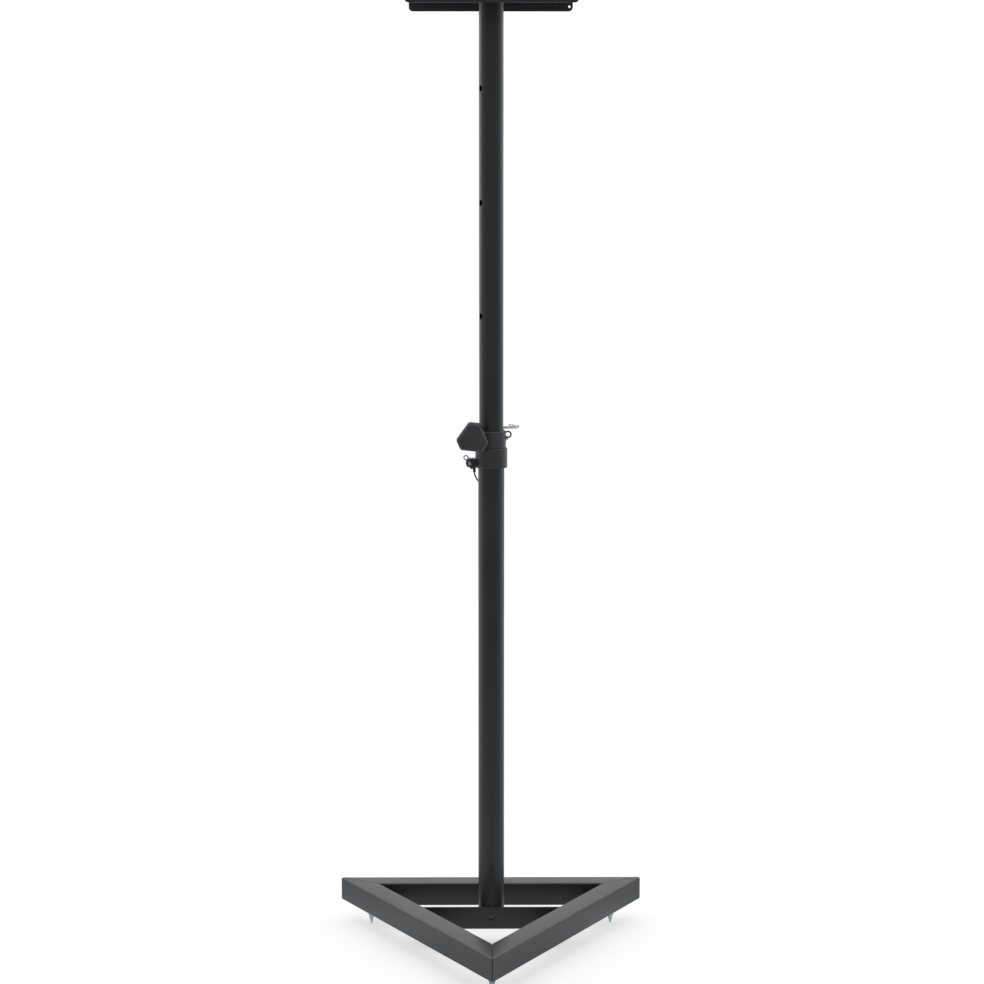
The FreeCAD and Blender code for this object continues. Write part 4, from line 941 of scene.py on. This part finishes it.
class SPKSTAND_OT_stage(bpy.types.Operator):
    """Set up the camera, the pale floor and the soft light"""
    bl_idname = "spkstand.stage"
    bl_label = "Stage"

    def execute(self, context):
        stage = settings("stage")
        scene = context.scene
        camera = bpy.data.objects.new("camera", bpy.data.cameras.new("camera"))
        scene.collection.objects.link(camera)
        camera.data.lens = stage.lens
        camera.data.sensor_width = 36.0
        camera.data.clip_end = 60.0
        away = Vector((math.sin(stage.orbit), -math.cos(stage.orbit), 0)) * stage.distance
        camera.location = POLE + away + UP * stage.height
        camera.rotation_euler = (math.pi / 2 - stage.pitch, 0, stage.orbit - stage.aim)
        scene.camera = camera

        bpy.ops.mesh.primitive_plane_add(size=30)
        floor = context.object
        floor.name = "floor"
        floor.data.materials.append(studio_floor())

        for name, place, size, power in (
                ("overhead_softbox", (0.0, 0.2, 3.4), 3.0, 25.0),
                ("left_softbox", (-2.8, 2.2, 1.7), 2.0, 13.0),
                ("right_softbox", (2.8, 2.2, 1.7), 2.0, 13.0)):
            light = bpy.data.objects.new(name, bpy.data.lights.new(name, "AREA"))
            light.data.shape = "SQUARE"
            light.data.size = size
            light.data.energy = power
            light.location = place
            aim = Vector((0, 0, 0.7)) - Vector(place)
            light.rotation_euler = aim.to_track_quat("-Z", "Y").to_euler()
            scene.collection.objects.link(light)

        world = bpy.data.worlds.new("studio")
        scene.world = world
        world.use_nodes = True
        tree = world.node_tree
        tree.nodes.clear()
        # the room is white behind and beside the stand and darker on the viewer's side
        split = add(tree, "ShaderNodeSeparateXYZ",
                    {"Vector": add(tree, "ShaderNodeTexCoord").outputs["Generated"]})
        depth = add(tree, "ShaderNodeMapRange", (split.outputs["Y"], -0.6, 0.2, 0.5, 1.0), "Result")
        rise = add(tree, "ShaderNodeMapRange", (split.outputs["Z"], 0.02, 0.2, 0.5, 1.0), "Result")
        level = add(tree, "ShaderNodeMath", (depth, rise), "Value", operation="MULTIPLY")
        room = add(tree, "ShaderNodeBackground", {"Color": (1, 1, 1, 1), "Strength": level})
        white = add(tree, "ShaderNodeBackground", {"Color": (1, 1, 1, 1), "Strength": 1.0})
        path = add(tree, "ShaderNodeLightPath")
        mix = add(tree, "ShaderNodeMixShader", {0: path.outputs["Is Camera Ray"],
                                                1: room.outputs["Background"],
                                                2: white.outputs["Background"]})
        add(tree, "ShaderNodeOutputWorld", {"Surface": mix.outputs["Shader"]})
        scene.view_settings.view_transform = "Standard"
        return {"FINISHED"}


# route of the lanyard cord: x and y from the pole's axis, z from the lower tube's end, in mm
CORD_ROUTE = (
    (-24.6, 10.9, -34.0), (-24.6, 10.9, -38.0), (-18.0, 17.3, -50.5), (-4.0, 24.2, -57.0),
    (9.6, 22.8, -52.0), (16.6, 19.0, -38.5), (18.4, 20.4, -21.5), (18.8, 20.3, -4.5),
    (19.88, 19.02, 10.14), (22.25, 10.95, 14.40),
)


class SPKSTAND_OT_lanyard(bpy.types.Operator):
    """Lay the lanyard cord from the crimp barrel to the end loop"""
    bl_idname = "spkstand.lanyard"
    bl_label = "Lanyard cord"

    def execute(self, context):
        lanyard = settings("lanyard")
        start = POLE + UP * LOWER_TOP
        curve = bpy.data.curves.new("route", "CURVE")
        curve.dimensions = "3D"
        curve.resolution_u = 12
        spline = curve.splines.new("NURBS")
        spline.points.add(len(CORD_ROUTE) - 1)
        for point, place in zip(spline.points, CORD_ROUTE):
            point.co = (start + Vector(place) * MM).to_4d()
        spline.order_u = 3
        spline.use_endpoint_u = True
        carrier = bpy.data.objects.new("route", curve)
        context.scene.collection.objects.link(carrier)
        line = bpy.data.meshes.new_from_object(carrier)
        path = [vertex.co.copy() for vertex in line.vertices]
        bpy.data.objects.remove(carrier)

        shape = bmesh.new()
        layer = shape.loops.layers.uv.new("along")
        radius, steps = lanyard.width / 2, 16
        side = Vector((1, 0, 0))
        rings, travelled = [], 0.0
        for index, point in enumerate(path):
            before, after = path[max(index - 1, 0)], path[min(index + 1, len(path) - 1)]
            ahead = (after - before).normalized()
            side = (side - ahead * side.dot(ahead)).normalized()
            other = ahead.cross(side)
            if index:
                travelled += (point - path[index - 1]).length
            ring = []
            for step in range(steps):
                angle = 2 * math.pi * step / steps
                out = side * math.cos(angle) + other * math.sin(angle)
                ring.append(shape.verts.new(point + out * radius))
            rings.append((ring, travelled))
        for (first, low), (second, high) in zip(rings, rings[1:]):
            for step in range(steps):
                after = (step + 1) % steps
                face = shape.faces.new((first[step], first[after], second[after], second[step]))
                corners = ((step, low), (step + 1, low), (step + 1, high), (step, high))
                for loop, (turn, reach) in zip(face.loops, corners):
                    loop[layer].uv = (turn / steps, reach)
        shape.faces.new(list(reversed(rings[0][0])))
        shape.faces.new(rings[-1][0])
        bmesh.ops.recalc_face_normals(shape, faces=shape.faces)
        for face in shape.faces:
            face.smooth = len(face.verts) == 4
        mesh = bpy.data.meshes.new("lanyard_cord_braid")
        shape.to_mesh(mesh)
        shape.free()
        cord = piece_from("lanyard_cord_braid", mesh, "cord_sheath", "base", ("lanyard_cord",))
        return {"FINISHED"}


class SPKSTAND_OT_carried(bpy.types.Operator):
    """Give every carried-over solid the finish of its material slot"""
    bl_idname = "spkstand.carried"
    bl_label = "Finishes of the solids"

    def execute(self, context):
        slots = {part["node"]: part["material_slot"] for part in frame["record"]["subparts"]}
        for name, item in frame["nodes"].items():
            material = finish(slots[name])
            for place in item.material_slots:
                place.material = material
        return {"FINISHED"}


class SPKSTAND_OT_base(bpy.types.Operator):
    """Build the mitred base frame and its weld beads"""
    bl_idname = "spkstand.base"
    bl_label = "Base frame"

    def execute(self, context):
        size = settings("base")
        mesh = run_tree(frame_tree(), {
            "Side": BASE_SIDE, "Tube": TUBE_SIDE, "Edge": size.edge, "Seam width": size.seam,
            "Seam depth": size.seam_depth, "Face": REAR_FACE, "Lift": FLOOR_TO_BASE,
            "Sides": size.sides, "Centre": POLE, "Material": finish("powder_coat")})
        shape = bmesh.new()
        shape.from_mesh(mesh)
        piece_from("base_frame", mesh_from(shape, 28.0), "powder_coat", "base",
                   ("base_tube_rear", "base_tube_left", "base_tube_right"))
        self.welds(size)
        return {"FINISHED"}

    def welds(self, size):
        """Fillet welds where the bracket meets the side tubes."""
        low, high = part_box("cross_bracket")
        shape = bmesh.new()
        apex = POLE.y - 2 * REAR_FACE + 2 * TUBE_SIDE

        def inner_x(y):
            return (y - apex) / math.sqrt(3)

        front = low.y
        for side in (-1, 1):
            corners = [(front, low.z + 0.004), (front, high.z - 0.002)]
            points = [Vector((side * (inner_x(y) - 0.0006), y - 0.0004, z)) for y, z in corners]
            self.run(shape, points)
            corners = [(front + 0.006, low.z), (high.y - 0.002, low.z)]
            points = [Vector((side * (inner_x(y) - 0.0004), y, z - 0.0002)) for y, z in corners]
            self.run(shape, points)
        mesh = bpy.data.meshes.new("weld_lines")
        shape.to_mesh(mesh)
        shape.free()
        beads = run_tree(bead_tree(), {"Ripple": size.ripple, "Width": size.bead, "Seed": 3,
                                       "Material": finish("powder_coat")}, mesh)
        piece_from("bracket_welds", beads, "powder_coat", "base")

    def run(self, shape, points):
        verts = [shape.verts.new(point) for point in points]
        for first, second in zip(verts, verts[1:]):
            shape.edges.new((first, second))


class SPKSTAND_OT_collar(bpy.types.Operator):
    """Cast the collar and mould the bush, with soft blended edges"""
    bl_idname = "spkstand.collar"
    bl_label = "Collar and bush"

    def execute(self, context):
        piece_from(
            "collar_casting", blended("collar", 0.5 * MM, 4), "cast_collar", "base", ("collar",))
        piece_from("guide_bush_moulding", blended("collar_bush", 0.45 * MM, 3), "moulded_plastic",
                   "base", ("collar_bush",))
        return {"FINISHED"}


def blended(node, voxel, rounds):
    """Copy of a solid, remeshed finely and smoothed so that its edges are rounded."""
    source = frame["nodes"][node].data
    shape = bmesh.new()
    shape.from_mesh(source)
    bmesh.ops.remove_doubles(shape, verts=shape.verts, dist=1e-6)
    mesh = bpy.data.meshes.new("copy")
    shape.to_mesh(mesh)
    shape.free()
    carrier = bpy.data.objects.new("copy", mesh)
    bpy.context.scene.collection.objects.link(carrier)
    remesh = carrier.modifiers.new("remesh", "REMESH")
    remesh.mode = "VOXEL"
    remesh.voxel_size = voxel
    smooth = carrier.modifiers.new("smooth", "SMOOTH")
    smooth.factor = 0.5
    smooth.iterations = rounds
    evaluated = carrier.evaluated_get(bpy.context.evaluated_depsgraph_get())
    result = bpy.data.meshes.new_from_object(evaluated)
    bpy.data.objects.remove(carrier)
    result.polygons.foreach_set("use_smooth", [True] * len(result.polygons))
    return result


class SPKSTAND_OT_knob(bpy.types.Operator):
    """Mould the three-lobed clamp knob"""
    bl_idname = "spkstand.knob"
    bl_label = "Clamp knob"

    def execute(self, context):
        knob = settings("knob")
        back = POLE.y - knob.back
        face = back - knob.thickness
        hub_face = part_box("clamp_knob")[1].y
        corner_steps = 9

        def outline(y, inset):
            """The lobes' outline at one depth, a given distance inside the full one."""
            points = []
            for side in range(6):
                first, second = (knob.end, knob.flank) if side % 2 == 0 else (knob.flank, knob.end)
                start = knob.turn + side * math.pi / 3
                reach = (first - knob.corner, second - knob.corner)
                # the rounding's centre lies where both sides, moved in by its radius, meet
                slope = (reach[1] - reach[0] * math.cos(math.pi / 3)) / math.sin(math.pi / 3)
                round_x = reach[0] * math.cos(start) - slope * math.sin(start)
                round_z = reach[0] * math.sin(start) + slope * math.cos(start)
                for step in range(corner_steps):
                    angle = start + math.pi / 3 * step / (corner_steps - 1)
                    radius = knob.corner - inset
                    points.append(Vector((STUD_AXIS.x + round_x + radius * math.cos(angle), y,
                                          STUD_AXIS.z + round_z + radius * math.sin(angle))))
            return points

        def circle(y, radius):
            """A ring with one point in the direction of each point of the outline."""
            points = []
            for spot in outline(y, 0.0):
                away = (spot - STUD_AXIS) * Vector((1, 0, 1))
                points.append(Vector((STUD_AXIS.x, y, STUD_AXIS.z)) + away.normalized() * radius)
            return points

        bore, hub, hollow = knob.bore / 2, knob.hub / 2, knob.hollow / 2
        floor = back - knob.depth
        soft = knob.soft
        rings = [circle(hub_face - knob.grip, bore), circle(hub_face - soft, bore),
                 circle(hub_face, bore + soft), circle(hub_face, hub - soft),
                 circle(hub_face - soft, hub), circle(floor + soft, hub), circle(floor, hub + soft),
                 circle(floor, hollow - soft), circle(floor + soft, hollow),
                 circle(back - soft, hollow), circle(back, hollow + soft)]
        quarter = math.pi / 2
        for step in range(5):
            angle = quarter * step / 4
            rings.append(outline(back - knob.back_edge * (1 - math.cos(angle)),
                                 knob.back_edge * (1 - math.sin(angle))))
        # bevel round the face, its own corners rounded off
        bevel = softened(
            [
                (face + 2 * knob.bevel, 0.0), (face + knob.bevel, 0.0), (face, knob.bevel),
                (face, 2 * knob.bevel)],
            2 * knob.soft, 4)
        for y, inset in bevel[1:-1]:
            rings.append(outline(y, inset))
        shape = bmesh.new()
        rings_to_shape(shape, rings)
        piece_from(
            "clamp_knob_moulding", mesh_from(shape, 40.0), "moulded_plastic", "knob",
            ("clamp_knob",))
        return {"FINISHED"}


class SPKSTAND_OT_fasteners(bpy.types.Operator):
    """Make nuts and bolts with chamfered hexagons"""
    bl_idname = "spkstand.fasteners"
    bl_label = "Nuts and bolts"

    def execute(self, context):
        # lock nuts of the spikes: one nut repeated round the pole
        low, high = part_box("lock_nut_front")
        middle = centre("lock_nut_front")
        shape = bmesh.new()
        hex_block(shape, span("lock_nut_front").y, high.z - low.z, facing(UP, (0, 0, low.z)),
                  both=True, hole=4.3 * MM)
        nuts = run_tree(repeat_tree(), {
            "Count": len(CORNERS), "Reach": POLE.y - middle.y, "Start": math.radians(-90),
            "Centre": POLE, "Material": finish("zinc_steel")}, mesh_from(shape))
        piece_from("lock_nuts", nuts, "zinc_steel", "base", ["lock_nut_" + c for c in CORNERS])

        # clamp bolt along Y with its head at the rear, its threaded end in the front nut
        low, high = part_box("clamp_bolt")
        axis = centre("clamp_bolt")
        flats = span("clamp_bolt").z
        head, shank = 4 * MM, 2.95 * MM
        shape = bmesh.new()
        place = facing((0, 1, 0), (axis.x, high.y - head, axis.z))
        hex_block(shape, flats, head, place, turn=math.pi / 6)
        turned(shape, [(0.1 * MM, low.y - high.y + head), (shank - 1.2 * MM, low.y - high.y + head),
                       (shank, low.y - high.y + head + 1.2 * MM), (shank, 0.2 * MM)], place, 32)
        piece_from("clamp_bolt_hex", mesh_from(shape), "zinc_steel", "base", ("clamp_bolt",))
        low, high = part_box("clamp_nut")
        shape = bmesh.new()
        hex_block(shape, flats, high.y - low.y, facing((0, -1, 0), (axis.x, high.y, axis.z)),
                  both=True, hole=3.2 * MM)
        piece_from("clamp_nut_hex", mesh_from(shape), "black_steel", "base", ("clamp_nut",))

        # button-headed foot bolt below the pole, with its hexagon socket
        low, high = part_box("foot_bolt")
        head, key = 4.4 * MM, 5 * MM
        width = span("foot_bolt").x / 2
        place = facing((0, 0, -1), (POLE.x, POLE.y, low.z + head))
        rings = []
        for radius, height in ((0.3 * MM, low.z - high.z + head), (3.3 * MM, low.z - high.z + head),
                               (3.9 * MM, low.z - high.z + head + 0.6 * MM), (3.9 * MM, 0.0),
                               (width, 0.0), (width, 0.9 * MM), (width * 0.93, 2.2 * MM),
                               (width * 0.75, 3.4 * MM), (width * 0.5, head)):
            rings.append(self.circle(place, lambda angle: radius, height))
        for depth in (0.0, 2.2 * MM):
            rings.append(self.circle(place, lambda angle: hexagon_radius(angle, key), head - depth))
        shape = bmesh.new()
        rings_to_shape(shape, rings)
        piece_from("foot_bolt_button", mesh_from(shape), "black_steel", "base", ("foot_bolt",))
        return {"FINISHED"}

    def circle(self, place, radius_of, height, steps=72):
        points = []
        for step in range(steps):
            angle = 2 * math.pi * step / steps
            radius = radius_of(angle)
            points.append(
                place @ Vector((radius * math.cos(angle), radius * math.sin(angle), height)))
        return points


class SPKSTAND_OT_spikes(bpy.types.Operator):
    """Turn the three spikes with their threads"""
    bl_idname = "spkstand.spikes"
    bl_label = "Spikes"

    def execute(self, context):
        size = settings("fasteners")
        tree = thread_tree()
        for corner in CORNERS:
            node = "spike_" + corner
            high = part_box(node)[1]
            middle = centre(node).xy.to_3d()
            shoulder = 23.4 * MM
            core = 4 * MM - size.thread
            profile = softened([
                (0.02 * MM, 0.0), (0.75 * MM, 0.0), (6 * MM, 19 * MM), (6 * MM, shoulder),
                (core, shoulder), (core, high.z - 1 * MM), (core - 0.9 * MM, high.z),
                (0.02 * MM, high.z)], 0.4 * MM)
            shape = bmesh.new()
            turned(shape, profile, Matrix.Translation(middle), 48)
            steel = turned_steel("turned_spike_steel_" + corner, middle, 0.5 * MM)
            mesh = run_tree(
                tree,
                {
                    "Radius": 4 * MM, "Pitch": size.pitch, "Depth": size.thread,
                    "Length": high.z - shoulder - 1.5 * MM,
                    "Placement": middle + UP * (shoulder + 0.2 * MM), "Material": steel},
                mesh_from(shape))
            piece_from(node + "_turned", mesh, "zinc_steel", node, (node,), steel)
        return {"FINISHED"}


class SPKSTAND_OT_plate(bpy.types.Operator):
    """Round off the cut edges of the folded top plate"""
    bl_idname = "spkstand.plate"
    bl_label = "Top plate"

    def execute(self, context):
        shape = bmesh.new()
        shape.from_mesh(frame["nodes"]["top_plate"].data)
        bmesh.ops.remove_doubles(shape, verts=shape.verts, dist=1e-6)
        bmesh.ops.dissolve_limit(shape, angle_limit=math.radians(0.5), verts=shape.verts,
                                 edges=shape.edges)
        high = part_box("top_plate")[1]
        cut = []
        for edge in shape.edges:
            if len(edge.link_faces) == 2 and edge.calc_face_angle() > math.radians(40):
                middle = (edge.verts[0].co + edge.verts[1].co) / 2
                if middle.z < high.z - 4 * MM or edge.calc_length() > 40 * MM:
                    cut.append(edge)
        bmesh.ops.bevel(shape, geom=cut, offset=settings("base").cut_edge, segments=3, profile=0.5,
                        affect="EDGES", clamp_overlap=True)
        piece_from("folded_plate", mesh_from(shape, 35.0), "powder_coat", "upper", ("top_plate",))
        return {"FINISHED"}


class SPKSTAND_OT_mat(bpy.types.Operator):
    """Lay the studded anti-slip mat on the plate"""
    bl_idname = "spkstand.mat"
    bl_label = "Anti-slip mat"

    def execute(self, context):
        size = settings("mat")
        low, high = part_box("plate_mat")
        shape = bmesh.new()
        shape.from_mesh(frame["nodes"]["plate_mat"].data)
        bmesh.ops.remove_doubles(shape, verts=shape.verts, dist=1e-6)
        for vertex in shape.verts:
            if vertex.co.z > (low.z + high.z) / 2:
                vertex.co.z = high.z - size.stud_height
        mesh = run_tree(studs_tree(), {
            "Side": high.x - low.x - 4 * MM, "Pitch": size.stud_pitch, "Width": size.stud_width,
            "Height": size.stud_height, "Hole pitch": 0.18, "Hole room": 9 * MM,
            "Centre": POLE + UP * (high.z - size.stud_height), "Material": finish("mat_rubber")},
            mesh_from(shape))
        piece_from("studded_mat", mesh, "mat_rubber", "upper", ("plate_mat",))
        return {"FINISHED"}


STEPS = (
    SPKSTAND_OT_stage, SPKSTAND_OT_lanyard, SPKSTAND_OT_carried, SPKSTAND_OT_base,
    SPKSTAND_OT_collar, SPKSTAND_OT_knob, SPKSTAND_OT_fasteners, SPKSTAND_OT_spikes,
    SPKSTAND_OT_plate, SPKSTAND_OT_mat,
)


class SPKSTAND_PT_panel(bpy.types.Panel):
    """Lists the stand's pieces"""
    bl_idname = "SPKSTAND_PT_panel"
    bl_label = "Speaker stand"
    bl_space_type = "VIEW_3D"
    bl_region_type = "UI"
    bl_category = "Speaker stand"

    def draw(self, context):
        for step in STEPS:
            self.layout.operator(step.bl_idname)
        for group in SETTINGS:
            box = self.layout.box()
            box.label(text=group.capitalize())
            for name in SETTINGS[group].__annotations__:
                box.prop(settings(group), name)


def register():
    for group, kind in SETTINGS.items():
        bpy.utils.register_class(kind)
        setattr(bpy.types.Scene, "spkstand_" + group, bpy.props.PointerProperty(type=kind))
    for step in STEPS + (SPKSTAND_PT_panel,):
        bpy.utils.register_class(step)


def unregister():
    for step in reversed(STEPS + (SPKSTAND_PT_panel,)):
        bpy.utils.unregister_class(step)
    for group, kind in reversed(list(SETTINGS.items())):
        delattr(bpy.types.Scene, "spkstand_" + group)
        bpy.utils.unregister_class(kind)


def main():
    for name in ("Cube", "Light", "Camera"):
        if name in bpy.data.objects:
            bpy.data.objects.remove(bpy.data.objects[name])
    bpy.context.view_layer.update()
    register()
    for step in STEPS:
        area, name = step.bl_idname.split(".")
        getattr(getattr(bpy.ops, area), name)()


if __name__ == "__main__":
    main()
